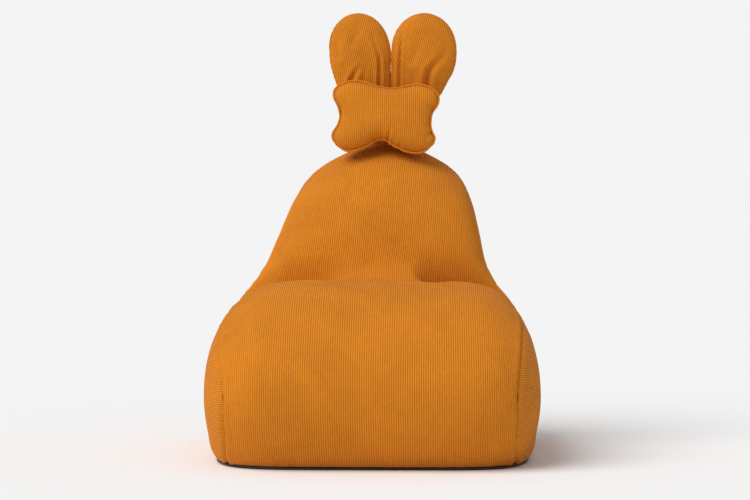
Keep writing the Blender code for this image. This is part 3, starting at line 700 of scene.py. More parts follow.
rear_half("rear_cover_upper", "rear_panel_upper", 1)
rear_half("rear_cover_lower", "rear_panel_lower", -1)

# %% [markdown]
# ## Side gussets
# A gusset's wales lie level, from front to back. Seen from the side it is a gentle dome over the
# Y-Z plane, so it is knitted from upright strips: one for each few millimetres of depth, from the
# hem, or the seam under the bulge, up to the seam at the top.


# %% Gussets
def share_at(y, z):
    """(share of the profile's radius, turn) at a place in the middle section."""
    turn = np.degrees(np.arctan2(z - CORE_Z, y - CORE_Y))
    turn = np.where(turn < -130.0, turn + 360.0, turn)
    return np.hypot(y - CORE_Y, z - CORE_Z) / profile_radius(turn), turn


def dome(y, z):
    """Half width of the bag at a place in the Y-Z plane, without the lean."""
    share, turn = share_at(y, z)
    outward = np.maximum(1 - np.clip(share, 0, 1) ** FLANK_POWER, 0)
    return outward ** (1 / front_power(turn)) * half_width(z)


def side_gusset(name, node_name, side):
    """The flank at X's side."""
    levels = np.linspace(HEM_Z - 0.004, 0.46, 1000)
    flank = dome(np.full(len(levels), CORE_Y), levels)
    level_run = lengths(np.stack([flank, np.zeros(len(levels)), levels], axis=1))
    seam = skin_points(fine_turns, side * seam_swing(fine_turns))
    y_low, y_high = seam[seam[:, 2] > HEM_Z, 1].min(), seam[seam[:, 2] > HEM_Z, 1].max()
    strips = []
    for y in np.linspace(y_low + 0.0008, y_high - 0.0008, round((y_high - y_low) / 0.0045)):
        share, turn = share_at(np.full(len(levels), y), levels)
        inside = share <= seam_share(turn)
        if inside.sum() < 4:
            continue
        first, last = np.flatnonzero(inside)[[0, -1]]
        zs = levels[first : last + 1]
        ends = []
        for a, b in ((first - 1, first), (last + 1, last)):
            if 0 <= a < len(levels):
                over = [share[i] - seam_share(turn[i]) for i in (a, b)]
                t = over[0] / (over[0] - over[1])
                ends.append(levels[a] + t * (levels[b] - levels[a]))
            else:
                ends.append(levels[b])
        zs = np.concatenate([[ends[0]], zs, [ends[1]]])
        x = side * dome(np.full(len(zs), y), zs) + lean_at(zs)
        line = np.stack([x, np.full(len(zs), y), zs], axis=1)
        run = np.interp(zs, levels, level_run)
        keep = np.concatenate([[True], np.diff(run) > 1e-7])
        strips.append(strip_between(line[keep], run[keep], run[0], run[-1]))
    points, wales, faces = knit(strips)
    made = mesh_object(name, points, faces, CORDUROY, {"wale": wales})
    keep_above(made, *HEM_PLANE)
    face_out(made, CORE)
    raised(made, bag_relief, shift=crease_fill)
    return dress(made, [node_name], "bag")


side_gusset("left_side_cover", "left_side_panel", -1)
side_gusset("right_side_cover", "right_side_panel", 1)

# %% [markdown]
# ## Sewn and stuffed forms
# An ear is two matching pieces of cloth, sewn round the edge, turned and lightly stuffed. The head
# cushion is the same with more stuffing. Both are knitted level by level like the panels: each level
# is one line across the form, bulging at the front and mirrored at the back, and both lines end on
# the same seam points, so that the two skins close. A flat lip a few millimetres wide runs along the
# seam, where the cloth inside is turned in.


# %% Sew two skins together
def sewn_form(name, levels, material, wale_height=0.0006):
    """levels are pairs of lines (front, back) with shared ends, and the place of wale zero on each."""
    verts, wales, faces = [], [], []
    for side in (0, 1):
        strips = []
        for *lines, origin in levels:
            line = lines[side]
            run = lengths(line)
            strips.append(strip_between(line, run - origin, -origin, run[-1] - origin))
        points, marks, made = knit(strips)
        start = sum(len(v) for v in verts)
        flip = side == 1
        faces += [tuple(i + start for i in (f[::-1] if flip else f)) for f in made]
        verts.append(points)
        wales.append(marks)
    made = mesh_object(name, np.concatenate(verts), faces, material, {"wale": np.concatenate(wales)})
    bm = bmesh.new()
    bm.from_mesh(made.data)
    bmesh.ops.remove_doubles(bm, verts=bm.verts[:], dist=2e-5)
    bm.to_mesh(made.data)
    bm.free()
    turn_outward(made)
    return made


def near_line(points, line):
    """(distance, share of the way along) from each 2-D point to a line of short segments."""
    line = np.array(line, float)
    best = np.full(len(points), 9.0)
    share = np.zeros(len(points))
    for i, (a, b) in enumerate(zip(line, line[1:])):
        t = np.clip((points - a) @ (b - a) / ((b - a) @ (b - a)), 0, 1)
        gap = np.linalg.norm(points - a - t[:, None] * (b - a), axis=1)
        closer = gap < best
        best[closer], share[closer] = gap[closer], (i + t[closer]) / (len(line) - 1)
    return best, share


def folds(flat, lines):
    """Relief of folds in a skin. A fold is (line, depth, width), and it deepens along its line."""
    total = np.zeros(len(flat))
    for line, depth, width in lines:
        gap, share = near_line(flat, line)
        strength = depth * np.clip(0.15 + 1.3 * share, 0, 1)
        total -= strength * np.exp(-((gap / width) ** 2))
        total += 0.45 * strength * np.exp(-(((gap - 2.1 * width) / (1.1 * width)) ** 2))
    return total


# %% [markdown]
# ## Ears
# The ears stand side by side, touching along their inner edges. Their feet are pleated, pulled
# together by the elastic band and sewn into the seam along the top of the backrest, so folds rise
# from the foot into the ear.

# %% Ear outlines and folds
HEAD_X, EAR_Y, FOLD_Z = 0.031, 0.197, 0.7465
EAR_FOOT, EAR_TIP = 0.6130, 0.8985
EAR_FORMS = {  # (height, middle from the line between the ears, half width), up to the widest place
    "left": (
        (0.6130, -0.0375, 0.0365), (0.665, -0.0400, 0.0390), (0.690, -0.0405, 0.0395),
        (0.710, -0.0455, 0.0445), (0.730, -0.0525, 0.0522), (0.742, -0.0558, 0.0557),
        (0.755, -0.0581, 0.0580), (0.7675, -0.0603, 0.0602), (0.793, -0.0636, 0.0635),
        (0.818, -0.0647, 0.0646), (0.850, -0.0672, 0.0600), (0.8985, -0.0688, 0.0000),
    ),
    "right": (
        (0.6130, 0.0380, 0.0370), (0.665, 0.0405, 0.0395), (0.690, 0.0410, 0.0400),
        (0.710, 0.0455, 0.0445), (0.730, 0.0525, 0.0522), (0.742, 0.0557, 0.0556),
        (0.755, 0.0590, 0.0589), (0.7675, 0.0628, 0.0627), (0.793, 0.0673, 0.0672),
        (0.818, 0.0684, 0.0683), (0.850, 0.0688, 0.0620), (0.8985, 0.0690, 0.0000),
    ),
}
EAR_WIDEST = 0.818
EAR_DEPTHS = (  # (height, half thickness)
    (0.6130, 0.0), (0.620, 0.0050), (0.645, 0.0080), (0.690, 0.0095), (0.720, 0.0120),
    (0.745, 0.0150), (0.780, 0.0180), (0.820, 0.0185), (0.850, 0.0165), (0.875, 0.0125),
    (0.890, 0.0080), (0.8965, 0.0035), (0.8985, 0.0),
)
EAR_FOLDS = {  # lines of (distance from the line between the ears, height), depth and width
    "left": (
        (((-0.040, 0.850), (-0.031, 0.827), (-0.0238, 0.806), (-0.0236, 0.775), (-0.025, 0.715)), 0.0052, 0.0036),
        (((-0.066, 0.784), (-0.076, 0.770), (-0.083, 0.755), (-0.084, 0.720)), 0.0058, 0.0048),
        (((-0.066, 0.878), (-0.073, 0.852), (-0.081, 0.832)), 0.0016, 0.0075),
        (((-0.106, 0.860), (-0.114, 0.835), (-0.112, 0.808)), 0.0016, 0.0070),
        (((-0.052, 0.800), (-0.056, 0.770), (-0.058, 0.735)), 0.0014, 0.0060),
    ),
    "right": (
        (((0.0225, 0.860), (0.0212, 0.840), (0.0185, 0.812), (0.0172, 0.780), (0.0168, 0.715)), 0.0058, 0.0032),
        (((0.105, 0.803), (0.091, 0.790), (0.079, 0.774), (0.0745, 0.752), (0.073, 0.715)), 0.0085, 0.0062),
        (((0.066, 0.850), (0.056, 0.825), (0.044, 0.800)), 0.0018, 0.0085),
        (((0.118, 0.835), (0.112, 0.815), (0.104, 0.803)), 0.0012, 0.0080),
        (((0.045, 0.775), (0.044, 0.750), (0.041, 0.720)), 0.0014, 0.0060),
    ),
}
LIP, LIP_HALF = 0.0022, 0.0006  # the flat edge beside a seam: its width and half its thickness
WALE_SLANT, SLANT_FROM = 0.25, 0.78  # an ear's wales lean out as they rise


def across_ear(side, inset, z):
    """(middle X, half width) of an ear at height z."""
    middle = float(smooth_through([(f[0], f[1]) for f in EAR_FORMS[side]])(z))
    half_at = smooth_through([(f[0], f[2]) for f in EAR_FORMS[side]])
    if z > EAR_WIDEST:
        up = min((z - EAR_WIDEST) / (EAR_TIP - EAR_WIDEST), 1.0)
        half = float(half_at(EAR_WIDEST)) * (1 - up**2.1) ** 0.5
    else:
        half = float(half_at(z))
    return HEAD_X + middle, max(half - inset, 0.0004)


def ear_levels(side, step, inset=0.0, foot=EAR_FOOT):
    """Lines across an ear, front and back, from its foot to its tip."""
    tip = EAR_TIP - inset
    bend = np.linspace(0, math.pi / 2, 36)
    round_top = EAR_WIDEST + (tip - EAR_WIDEST) * np.sin(bend)
    heights = np.concatenate([np.arange(foot, EAR_WIDEST - step / 2, step), round_top])
    thickness = smooth_through(EAR_DEPTHS)
    levels = []
    for z in heights:
        middle, half = across_ear(side, inset, z)
        ends = min((z - foot) / 0.004, (tip - z) / 0.003, 1.0)
        deep = max(float(thickness(z + inset * 0.5)) - inset * 0.6, 0.0) * math.sqrt(max(ends, 0.0))
        u = np.sin(np.linspace(-math.pi / 2, math.pi / 2, 500))
        stuffed = np.clip(np.abs(u) * half / max(half - LIP, half * 0.5), 0, 1)
        bulge = deep * (1 - stuffed**2.6) ** 0.62 + LIP_HALF * (np.abs(u) < 0.9999) * (deep > 0)
        x = middle + half * u
        lines = [np.stack([x, EAR_Y + way * bulge, np.full(500, z)], axis=1) for way in (-1, 1)]
        run = lengths(lines[0])
        origin = middle + WALE_SLANT * (z - SLANT_FROM)
        levels.append((*lines, float(np.interp(origin, x, run))))
    return levels


def ear_relief(side):
    """The relief of one ear: its folds, the same ones more softly at the back, and a little slack."""

    def relief(points, normals):
        facing = np.clip(np.abs(normals[:, 1]) * 1.6, 0, 1)
        flat = np.stack([points[:, 0] - HEAD_X, points[:, 2]], axis=1)
        front = np.clip((EAR_Y - points[:, 1]) / 0.004, 0, 1)
        lines = EAR_FOLDS[side]
        softer = [(line, depth * 0.6, width * 1.3) for line, depth, width in lines]
        rear = folds(flat + [0.006, -0.012], softer)
        creased = front * folds(flat, lines) + (1 - front) * rear
        return facing * (creased + 0.0009 * swell(points, 0.06, 21))

    return relief


# %% Ears
for side, body in (("left", "left_ear"), ("right", "right_ear")):
    ear = sewn_form(f"{side}_ear_cover", ear_levels(side, 0.0020), CORDUROY)
    raised(ear, ear_relief(side), wale_height=0.0005)
    stood_for = [f"{side}_ear_front_panel", f"{side}_ear_back_panel", f"{side}_ear_root"]
    dress(ear, stood_for)
    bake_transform(ear)

# %% [markdown]
# ## Head cushion
# The cushion is shaped like a bone: four lobes, a waist at each end and a dip above and below. A place
# on it has two shares, u across and v up, and the edge's own curves stretch that square into a bone.
# It is stuffed hard, so the skin is nearly flat in the middle and falls steeply to the seam, and
# the seam's turned-in edges stand up round it as a thin roll of cloth.

# %% Cushion form
PILLOW_X, PILLOW_Y, PILLOW_Z = 0.0200, 0.1300, 0.6770
PILLOW_TILT = math.radians(-10.0)
PILLOW_HALF_DEEP, SEAM_FORWARD, PILLOW_LIP = 0.0385, 0.011, 0.0030
LEFT_EDGE = (  # (v, reach to -X)
    (-1.00, 0.0965), (-0.89, 0.1050), (-0.71, 0.1095), (-0.53, 0.1070), (-0.35, 0.1000),
    (-0.17, 0.0955), (0.00, 0.0937), (0.19, 0.0957), (0.37, 0.0997), (0.54, 0.1053),
    (0.72, 0.1075), (0.90, 0.1045), (1.00, 0.0985),
)
RIGHT_EDGE = (  # (v, reach to +X)
    (-1.00, 0.0950), (-0.89, 0.1015), (-0.71, 0.1035), (-0.53, 0.0985), (-0.35, 0.0955),
    (-0.17, 0.0955), (0.00, 0.0965), (0.19, 0.1010), (0.37, 0.1075), (0.54, 0.1115),
    (0.72, 0.1115), (0.88, 0.1080), (1.00, 0.1030),
)
TOP_EDGE = (  # (u, reach up)
    (-1.00, 0.0640), (-0.80, 0.0735), (-0.62, 0.0760), (-0.42, 0.0725), (-0.23, 0.0660),
    (-0.03, 0.0610), (0.15, 0.0592), (0.37, 0.0630), (0.56, 0.0672), (0.72, 0.0677),
    (0.86, 0.0630), (1.00, 0.0540),
)
BOTTOM_EDGE = (  # (u, reach down)
    (-1.00, 0.0600), (-0.90, 0.0700), (-0.77, 0.0745), (-0.62, 0.0725), (-0.42, 0.0655),
    (-0.29, 0.0588), (-0.17, 0.0515), (-0.08, 0.0487), (0.01, 0.0512), (0.13, 0.0590),
    (0.27, 0.0670), (0.40, 0.0728), (0.56, 0.0770), (0.74, 0.0775), (0.88, 0.0730),
    (1.00, 0.0620),
)
left_reach, right_reach = smooth_through(LEFT_EDGE), smooth_through(RIGHT_EDGE)
top_reach, bottom_reach = smooth_through(TOP_EDGE), smooth_through(BOTTOM_EDGE)


def on_cushion(x, y, z):
    """A place in the cushion's own upright frame, tilted and moved to where the cushion hangs."""
    turned_y = PILLOW_Y + y * math.cos(PILLOW_TILT) - z * math.sin(PILLOW_TILT)
    turned_z = PILLOW_Z + y * math.sin(PILLOW_TILT) + z * math.cos(PILLOW_TILT)
    return PILLOW_X + x, turned_y, turned_z


def pillow_levels(steps, inset=0.0):
    """Lines across the cushion, front and back, from its lower edge to its upper edge."""
    lip = PILLOW_LIP / 0.068
    edge = [1.0, 1 - lip / 2, 1 - lip, 1 - 1.6 * lip]
    inner = np.linspace(-1 + 2.6 * lip, 1 - 2.6 * lip, steps)
    heights = np.concatenate([[-e for e in edge], inner, edge[::-1]])
    shrink = 1 - inset / 0.075
    u = np.sin(np.linspace(-math.pi / 2, math.pi / 2, 700))
    levels = []
    for v in heights:
        x = np.where(u < 0, left_reach(v), right_reach(v)) * u * shrink
        z = (top_reach(u) if v > 0 else bottom_reach(u)) * v * shrink
        across = np.clip(np.abs(u) / (1 - PILLOW_LIP / 0.1), 0, 1)
        up = min(abs(v) / (1 - lip), 1.0)
        lobes = 1 + 0.10 * across**4 * up**4
        bulge = (PILLOW_HALF_DEEP - inset) * ((1 - across**3.6) * (1 - up**3.2)) ** 0.42 * lobes
        bulge = bulge + LIP_HALF * (abs(v) < 0.9999) * (np.abs(u) < 0.9999)
        lines = []
        for way in (-1, 1):
            y = way * bulge * (1 + way * SEAM_FORWARD / PILLOW_HALF_DEEP) - SEAM_FORWARD
            lines.append(np.stack(on_cushion(x, y, z), axis=1))
        run = lengths(lines[0])
        levels.append((*lines, float(np.interp(0.0, x, run))))
    return levels


PILLOW_FOLDS = (  # on the cushion's face: (lines of x and z from its middle), depth, width
    (((0.012, -0.020), (0.008, -0.036), (0.004, -0.048)), 0.0030, 0.0032),
    (((-0.030, -0.036), (-0.024, -0.045), (-0.019, -0.052)), 0.0018, 0.0040),
    (((0.036, -0.048), (0.030, -0.058), (0.026, -0.066)), 0.0016, 0.0040),
    (((0.088, 0.030), (0.094, 0.020), (0.098, 0.012)), 0.0016, 0.0045),
    (((-0.086, 0.026), (-0.091, 0.016), (-0.094, 0.008)), 0.0014, 0.0045),
    (((0.082, -0.044), (0.088, -0.038), (0.094, -0.034)), 0.0016, 0.0040),
)


def pillow_relief(points, normals):
    """The relief of the cushion: short folds, puckers beside the seam and a little slack."""
    flat = np.stack([points[:, 0] - PILLOW_X, points[:, 2] - PILLOW_Z], axis=1)
    round_edge = np.abs(normals[:, 1])
    gather = ripple(np.arctan2(flat[:, 1], flat[:, 0]) * 0.09, 0.016, 31)
    pulled = np.exp(-((round_edge / 0.55) ** 2)) * 0.0007 * gather
    return folds(flat, PILLOW_FOLDS) + pulled + 0.0008 * swell(points, 0.07, 32)


# %% Rolled seam of the cushion
ROLL_RADIUS, ROLL_FORWARD, ROLL_IN = 0.0013, 0.0085, 0.0010
ROLL_SIDES, ROLL_STEPS = 8, 420


def cushion_edge(count):
    """Even points round the cushion's seam, as (x, z) from its middle."""
    up = np.linspace(-1, 1, 300)
    down = up[::-1]

    def across(u, v):
        return np.where(u < 0, left_reach(v), right_reach(v)) * u

    def upright(u, v):
        return np.where(v > 0, top_reach(u), bottom_reach(u)) * v

    sides = (
        (across(up, 1), top_reach(up)),
        (right_reach(down), upright(1, down)),
        (across(down, -1), -bottom_reach(down)),
        (-left_reach(up), upright(-1, up)),
    )
    loop = np.concatenate([np.stack(line, axis=1)[:-1] for line in sides])
    loop = np.concatenate([loop, loop[:1]])
    run = lengths(loop)
    marks = np.arange(count) / count * run[-1]
    return np.stack([np.interp(marks, run, loop[:, i]) for i in (0, 1)], axis=1)


edge = cushion_edge(ROLL_STEPS)
ahead = np.roll(edge, -1, axis=0) - np.roll(edge, 1, axis=0)
ahead /= np.linalg.norm(ahead, axis=1)[:, None]
outward = np.stack([-ahead[:, 1], ahead[:, 0]], axis=1)
roll_verts = []
for i in range(ROLL_STEPS):
    for j in range(ROLL_SIDES):
        turn = 2 * math.pi * j / ROLL_SIDES
        x, z = edge[i] + outward[i] * (ROLL_RADIUS * math.cos(turn) - ROLL_IN)
        y = -SEAM_FORWARD - ROLL_FORWARD + ROLL_RADIUS * math.sin(turn)
        roll_verts.append(on_cushion(x, y, z))
crowns = {"wale": [0.5] * len(roll_verts)}
faces = ring_faces(ROLL_STEPS, ROLL_SIDES, closed=True)
roll = mesh_object("head_cushion_rolled_seam", roll_verts, faces, CORDUROY, crowns)
turn_outward(roll)
dress(roll, body="head_pillow")

# %% Head cushion
head_cushion = sewn_form("head_cushion_cover", pillow_levels(40), CORDUROY)
raised(head_cushion, pillow_relief, wale_height=0.0006)
panels = ["head_pillow_front_panel", "head_pillow_back_panel"]
dress(head_cushion, panels, "head_pillow")

# %% [markdown]
# ## Woven, spun and moulded finishes
# The hidden and the plain pieces are made of other stuff: a black woven polypropylene base, a thin
# polyester liner, polyester wadding, woven zip tape and a ruched elastic band. A weave is two sets of
# threads, over and under, so its pattern is the product of two waves, at the thread's own spacing.


# %% Woven cloth, wadding, foam and metal
def woven(name, over, under, thread, roughness, sheen):
    """Plain-woven cloth. thread is the spacing of its threads in metres. under is painted shade: the darker
    colour where the threads sink beneath the crossing ones.
    """
    made, tree, shader = new_material(name)
    place = node(tree, "ShaderNodeTexCoord")
    where = place.outputs["Object"]
    waves = {"Scale": 1 / (thread * 20), "Distortion": 0.6, "Detail": 1.0}
    warp, weft = (
        node(tree, "ShaderNodeTexWave", {"wave_type": "BANDS", "bands_direction": way}, Vector=where, **waves)
        for way in ("X", "Z")
    )
    times, times_plus = {"operation": "MULTIPLY"}, {"operation": "MULTIPLY_ADD"}
    crossing = node(tree, "ShaderNodeMath", times, i0=warp.outputs[0], i1=weft.outputs[0])
    worn = node(tree, "ShaderNodeTexNoise", Vector=where, Scale=30.0, Detail=4.0).outputs["Fac"]
    blend = node(tree, "ShaderNodeMath", times_plus, i0=crossing.outputs[0], i1=0.7, i2=worn)
    level = node(tree, "ShaderNodeMapRange", Value=blend.outputs[0], From_Min=0.35, From_Max=1.1)
    # painted shade: low places of the weave take the darker under colour, with random noise mixed in
    colours = {"i6": linear(under), "i7": linear(over)}
    cloth = node(tree, "ShaderNodeMix", {"data_type": "RGBA"}, Factor=level.outputs["Result"], **colours)
    tree.links.new(cloth.outputs[2], shader.inputs["Base Color"])
    bump = node(tree, "ShaderNodeBump", Height=crossing.outputs[0], Distance=thread * 0.3, Strength=0.5)
    tree.links.new(bump.outputs[0], shader.inputs["Normal"])
    shader.inputs["Roughness"].default_value = roughness
    shader.inputs["Sheen Weight"].default_value = sheen
    return made


def fluff(name, pale, shade, size, cells, roughness):
    """Wadding (tangled fibres) or foamed beads (cells), from one height of the given size in metres."""
    made, tree, shader = new_material(name)
    place = node(tree, "ShaderNodeTexCoord")
    kind = "ShaderNodeTexVoronoi" if cells else "ShaderNodeTexNoise"
    lumps = node(tree, kind, Vector=place.outputs["Object"], Scale=1 / size)
    height = node(tree, "ShaderNodeMapRange", Value=lumps.outputs[0], From_Min=0.1, From_Max=0.8)
    colours = {"i6": linear(pale), "i7": linear(shade)}
    colour = node(tree, "ShaderNodeMix", {"data_type": "RGBA"}, Factor=height.outputs["Result"], **colours)
    tree.links.new(colour.outputs[2], shader.inputs["Base Color"])
    lump = {"Height": height.outputs["Result"], "Distance": size * 0.4, "Strength": 0.7}
    bump = node(tree, "ShaderNodeBump", {"invert": True}, **lump)
    tree.links.new(bump.outputs[0], shader.inputs["Normal"])
    shader.inputs["Roughness"].default_value = roughness
    return made


def plated(name, colour, roughness):
    """Nickel-plated zinc, cast and tumbled: bright, with fine scuffs that vary its gloss."""
    made, tree, shader = new_material(name)
    place = node(tree, "ShaderNodeTexCoord")
    scuffs = node(tree, "ShaderNodeTexNoise", Vector=place.outputs["Object"], Scale=900.0, Detail=5.0)
    spread = {"To_Min": roughness * 0.8, "To_Max": roughness * 1.35}
    gloss = node(tree, "ShaderNodeMapRange", Value=scuffs.outputs["Fac"], **spread)
    tree.links.new(gloss.outputs["Result"], shader.inputs["Roughness"])
    shader.inputs["Base Color"].default_value = linear(colour)
    shader.inputs["Metallic"].default_value = 1.0
    return made


# each weave's second colour is painted shade for the sunken threads
BASE_CLOTH = woven("black woven polypropylene", "#2A2A2C", "#141415", 0.0012, 0.62, 0.05)
LINER_CLOTH = woven("white polyester lining", "#EDECE6", "#D9D7CE", 0.0006, 0.70, 0.10)
TAPE_CLOTH = woven("mustard woven zip tape", "#CC7A1B", "#A55E12", 0.0007, 0.75, 0.10)
ELASTIC = woven("mustard ruched elastic", "#C97819", "#9A5610", 0.0009, 0.80, 0.15)
WADDING = fluff("white polyester wadding", "#F4F3EE", "#D8D6CE", 0.0020, False, 0.95)
BEADS = fluff("expanded polystyrene beads", "#F7F7F4", "#C9C8C3", 0.0040, True, 0.60)
PLATED = plated("nickel-plated zinc", "#C4C2BD", 0.28)
nylon, tree, shader = new_material("mustard nylon coil")
shader.inputs["Roughness"].default_value = 0.38
dye = node(tree, "ShaderNodeTexNoise", Scale=400.0, Detail=2.0)
dyes = {"i6": linear("#B96A12"), "i7": linear("#D98A26")}
tint = node(tree, "ShaderNodeMix", {"data_type": "RGBA"}, Factor=dye.outputs["Fac"], **dyes)
tree.links.new(tint.outputs[2], shader.inputs["Base Color"])
print("finishes", len(bpy.data.materials))

# %% [markdown]
# ## Inside the ears and the cushion
# The wadding is the same form as its cover, a few millimetres smaller, with the lumps that stuffed
# fibre has. In an ear it stops a little above the fold.


# %% Stuffing
def stuffing(name, node_name, body, levels, seed, cover_relief):
    """A lumpy filling from the levels of a smaller form, with the folds of its cover."""
    made = sewn_form(name, levels, WADDING)
    lumps = lambda points, normals: 0.0009 * swell(points, 0.02, seed) - 0.0010
    raised(made, lambda *at: np.minimum(cover_relief(*at), 0.0) + lumps(*at), wale_height=0.0)
    dress(made, [node_name], body)


for side, seed in (("left", 41), ("right", 42)):
    levels = ear_levels(side, 0.004, 0.0080, FOLD_Z + 0.026)
    names = f"{side}_ear_filling", f"{side}_ear_wadding", f"{side}_ear"
    stuffing(*names, levels, seed, ear_relief(side))
names = "head_cushion_filling", "head_pillow_fibre_fill", "head_pillow"
stuffing(*names, pillow_levels(22, 0.007), 43, pillow_relief)

# %% [markdown]
# ## Ear band
# A ruched band is cloth gathered on elastic, so it stands in small upright ruffles. It goes round
# both feet as a flat ring: two straight runs and two half circles.

# %% Ruched band
band_low, band_high = (np.array(corner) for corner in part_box("ear_band"))
band_middle = (band_low + band_high) / 2
BAND_ROUND = (band_high[1] - band_low[1]) / 2
BAND_STRAIGHT = (band_high[0] - band_low[0]) / 2 - BAND_ROUND
BAND_THICK, RUFFLES, BAND_ROWS = 0.0018, 58, 11


def band_ring(count):
    """Even points round the band, with the way out at each: (x, y), (x, y)."""
    total = 4 * BAND_STRAIGHT + 2 * math.pi * BAND_ROUND
    points, ways = [], []
    for run in np.arange(count) / count * total:
        side, rest = divmod(run, total / 2)
        if rest < 2 * BAND_STRAIGHT:
            place, way = (rest - BAND_STRAIGHT, -BAND_ROUND), (0.0, -1.0)
        else:
            turn = (rest - 2 * BAND_STRAIGHT) / BAND_ROUND - math.pi / 2
            way = (math.cos(turn), math.sin(turn))
            place = (BAND_STRAIGHT + BAND_ROUND * way[0], BAND_ROUND * way[1])
        flip = -1 if side else 1
        points.append((flip * place[0], flip * place[1]))
        ways.append((flip * way[0], flip * way[1]))
    return np.array(points), np.array(ways)


ring, ring_out = band_ring(RUFFLES * 8)
ruffle = 0.0006 * (np.cos(2 * math.pi * np.arange(len(ring)) / 8) - 1)
verts = []
for row in range(2 * BAND_ROWS):
    outside = row < BAND_ROWS
    t = (row if outside else 2 * BAND_ROWS - 1 - row) / (BAND_ROWS - 1) * 2 - 1
    drop = ruffle * (1 - 0.5 * t * t) - 0.0005 * t**4 - (0 if outside else BAND_THICK - 0.0006)
    flat = ring + ring_out * drop[:, None] + band_middle[:2]
    z = band_middle[2] + t * (band_high[2] - band_low[2]) / 2
    verts += [(x, y, z) for x, y in flat]
band = mesh_object("ruched_ear_band", verts, ring_faces(2 * BAND_ROWS, len(ring), closed=True), ELASTIC)
dress(band, ["ear_band"], body="bag")

# %% [markdown]
# ## Base
# The base is a flat panel of black woven cloth, with its raw edge turned in under the hem. It is the
# bag's own outline at the floor.

# %% Base panel
base_low, base_high = (np.array(corner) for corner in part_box("base_panel"))
BASE_TOP = 0.0054
BASE_SHARES = (0.02, 0.25, 0.5, 0.7, 0.90)  # rings across the flat
BASE_EDGE = ((0.0, 1.0), (0.0012, 1.0035), (0.0040, 1.0035), (0.0052, 1.0))  # (height, share)
BASE_STEPS = 360
depth_grid = np.linspace(base_low[1] + 0.0012, base_high[1] - 0.0012, 400)
base_half = dome(depth_grid, np.full(400, HEM_Z)) - 0.0020
one_side = np.stack([-base_half, depth_grid], axis=1)
hem_line = np.concatenate([one_side, (one_side * [-1, 1])[::-1], one_side[:1]])
hem_run = lengths(hem_line)
even = np.linspace(0, hem_run[-1], BASE_STEPS + 1)[:-1]
hem_line = np.stack([np.interp(even, hem_run, hem_line[:, i]) for i in (0, 1)], axis=1)
base_centre = np.array([0.0, (base_low[1] + base_high[1]) / 2])
verts = []
rings = [(0.0, share) for share in BASE_SHARES] + list(BASE_EDGE)
rings += [(BASE_TOP, share) for share in BASE_SHARES[::-1]]
for z, share in rings:
    flat = base_centre + (hem_line - base_centre) * share
    seam = 0.0006 * np.cos(np.arange(BASE_STEPS) * 2 * math.pi / 5) * (0.001 < z < 0.005)
    verts += [(x + s * np.sign(x), y, z) for (x, y), s in zip(flat, seam)]
faces = ring_faces(len(rings), BASE_STEPS) + end_caps(len(rings), BASE_STEPS)
base = mesh_object("base_cover", verts, faces, BASE_CLOTH)
turn_outward(base)
dress(base, ["base_panel"], "bag")

# %% [markdown]
# ## Liner and beads
# Inside the cover is a slack polyester liner with its own zip, full of expanded beads. Both follow
# the skin a little further in. The liner creases where it is slack, and the beads make a lumpy mass.


# %% Inner skins
LINER_INSET, FILL_INSET = 0.0125, 0.0200
LINER_FLOOR, FILL_FLOOR = 0.0078, 0.0115
FLANK_SHARES = np.array([0.60, 0.52, 0.44, 0.37, 0.30, 0.22, 0.14, 0.06])  # rows on a flank, inward


def inner_skin(name, inset, floor_z, material, relief, step=0.012):
    """A closed skin set in from the cover, flat on the base."""
    turns = even_turns(-129.0, 231.0, step)[:-1]
    flank = np.degrees(np.arccos(FLANK_SHARES ** (FLANK_POWER / 2)))
    front = np.degrees(np.arcsin(np.linspace(-1, 1, 57)[1:-1] * 0.999))
    swings = np.concatenate([-flank[::-1], front, flank])
    points = skin_points(turns[:, None], swings[None, :], inset)
    rows, columns = points.shape[:2]
    poles = skin_points(np.zeros(2), np.array([-90.0, 90.0]), inset)
    verts = np.concatenate([points.reshape(-1, 3), poles])
    faces = []
    for i in range(rows):
        a, b = i * columns, (i + 1) % rows * columns
        faces += [(a + k, a + k + 1, b + k + 1, b + k) for k in range(columns - 1)]
        faces.append((a, b, rows * columns))
        faces.append((a + columns - 1, rows * columns + 1, b + columns - 1))
    made = mesh_object(name, verts, faces, material, {"wale": np.zeros(len(verts))})
    turn_outward(made)
    raised(made, relief, wale_height=0.0)
    for vert in made.data.vertices:
        vert.co.z = max(vert.co.z, floor_z)
    return made


def clear_of_crease(points):
    """Keeps an inner skin out of the cover's fold between the seat and the backrest."""
    gap = np.hypot(points[:, 1] - CREASE_POINT[0], points[:, 2] - CREASE_POINT[1])
    return -0.014 * np.exp(-((gap / 0.045) ** 2))


def slack(points, normals):
    """The liner's creases."""
    creases = np.abs(swell(points, 0.045, 51)) ** 0.7
    return clear_of_crease(points) - 0.0042 * creases - 0.0016 * np.abs(swell(points, 0.02, 52))


def bead_lumps(points, normals):
    """The lumps of the bead mass."""
    return clear_of_crease(points) - 0.0055 + 0.0022 * swell(points, 0.03, 53)


liner = inner_skin("slack_liner", LINER_INSET, LINER_FLOOR, LINER_CLOTH, slack, step=0.009)
LINER_ZIP = [np.array(corner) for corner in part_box("liner_zip_tape_upper")]
LINER_SLOT_Z, LINER_SLOT_TALL = float(LINER_ZIP[0][2]) - 0.00065, 0.012
LINER_SLOT_HALF = float(LINER_ZIP[1][0]) - 0.006
bm = bmesh.new()
bm.from_mesh(liner.data)
SLOT_PLANES = (
    ((0, 0, LINER_SLOT_Z + LINER_SLOT_TALL), (0, 0, 1)),
    ((0, 0, LINER_SLOT_Z - LINER_SLOT_TALL), (0, 0, 1)),
    ((LINER_SLOT_HALF, 0, 0), (1, 0, 0)),
    ((-LINER_SLOT_HALF, 0, 0), (1, 0, 0)),
)


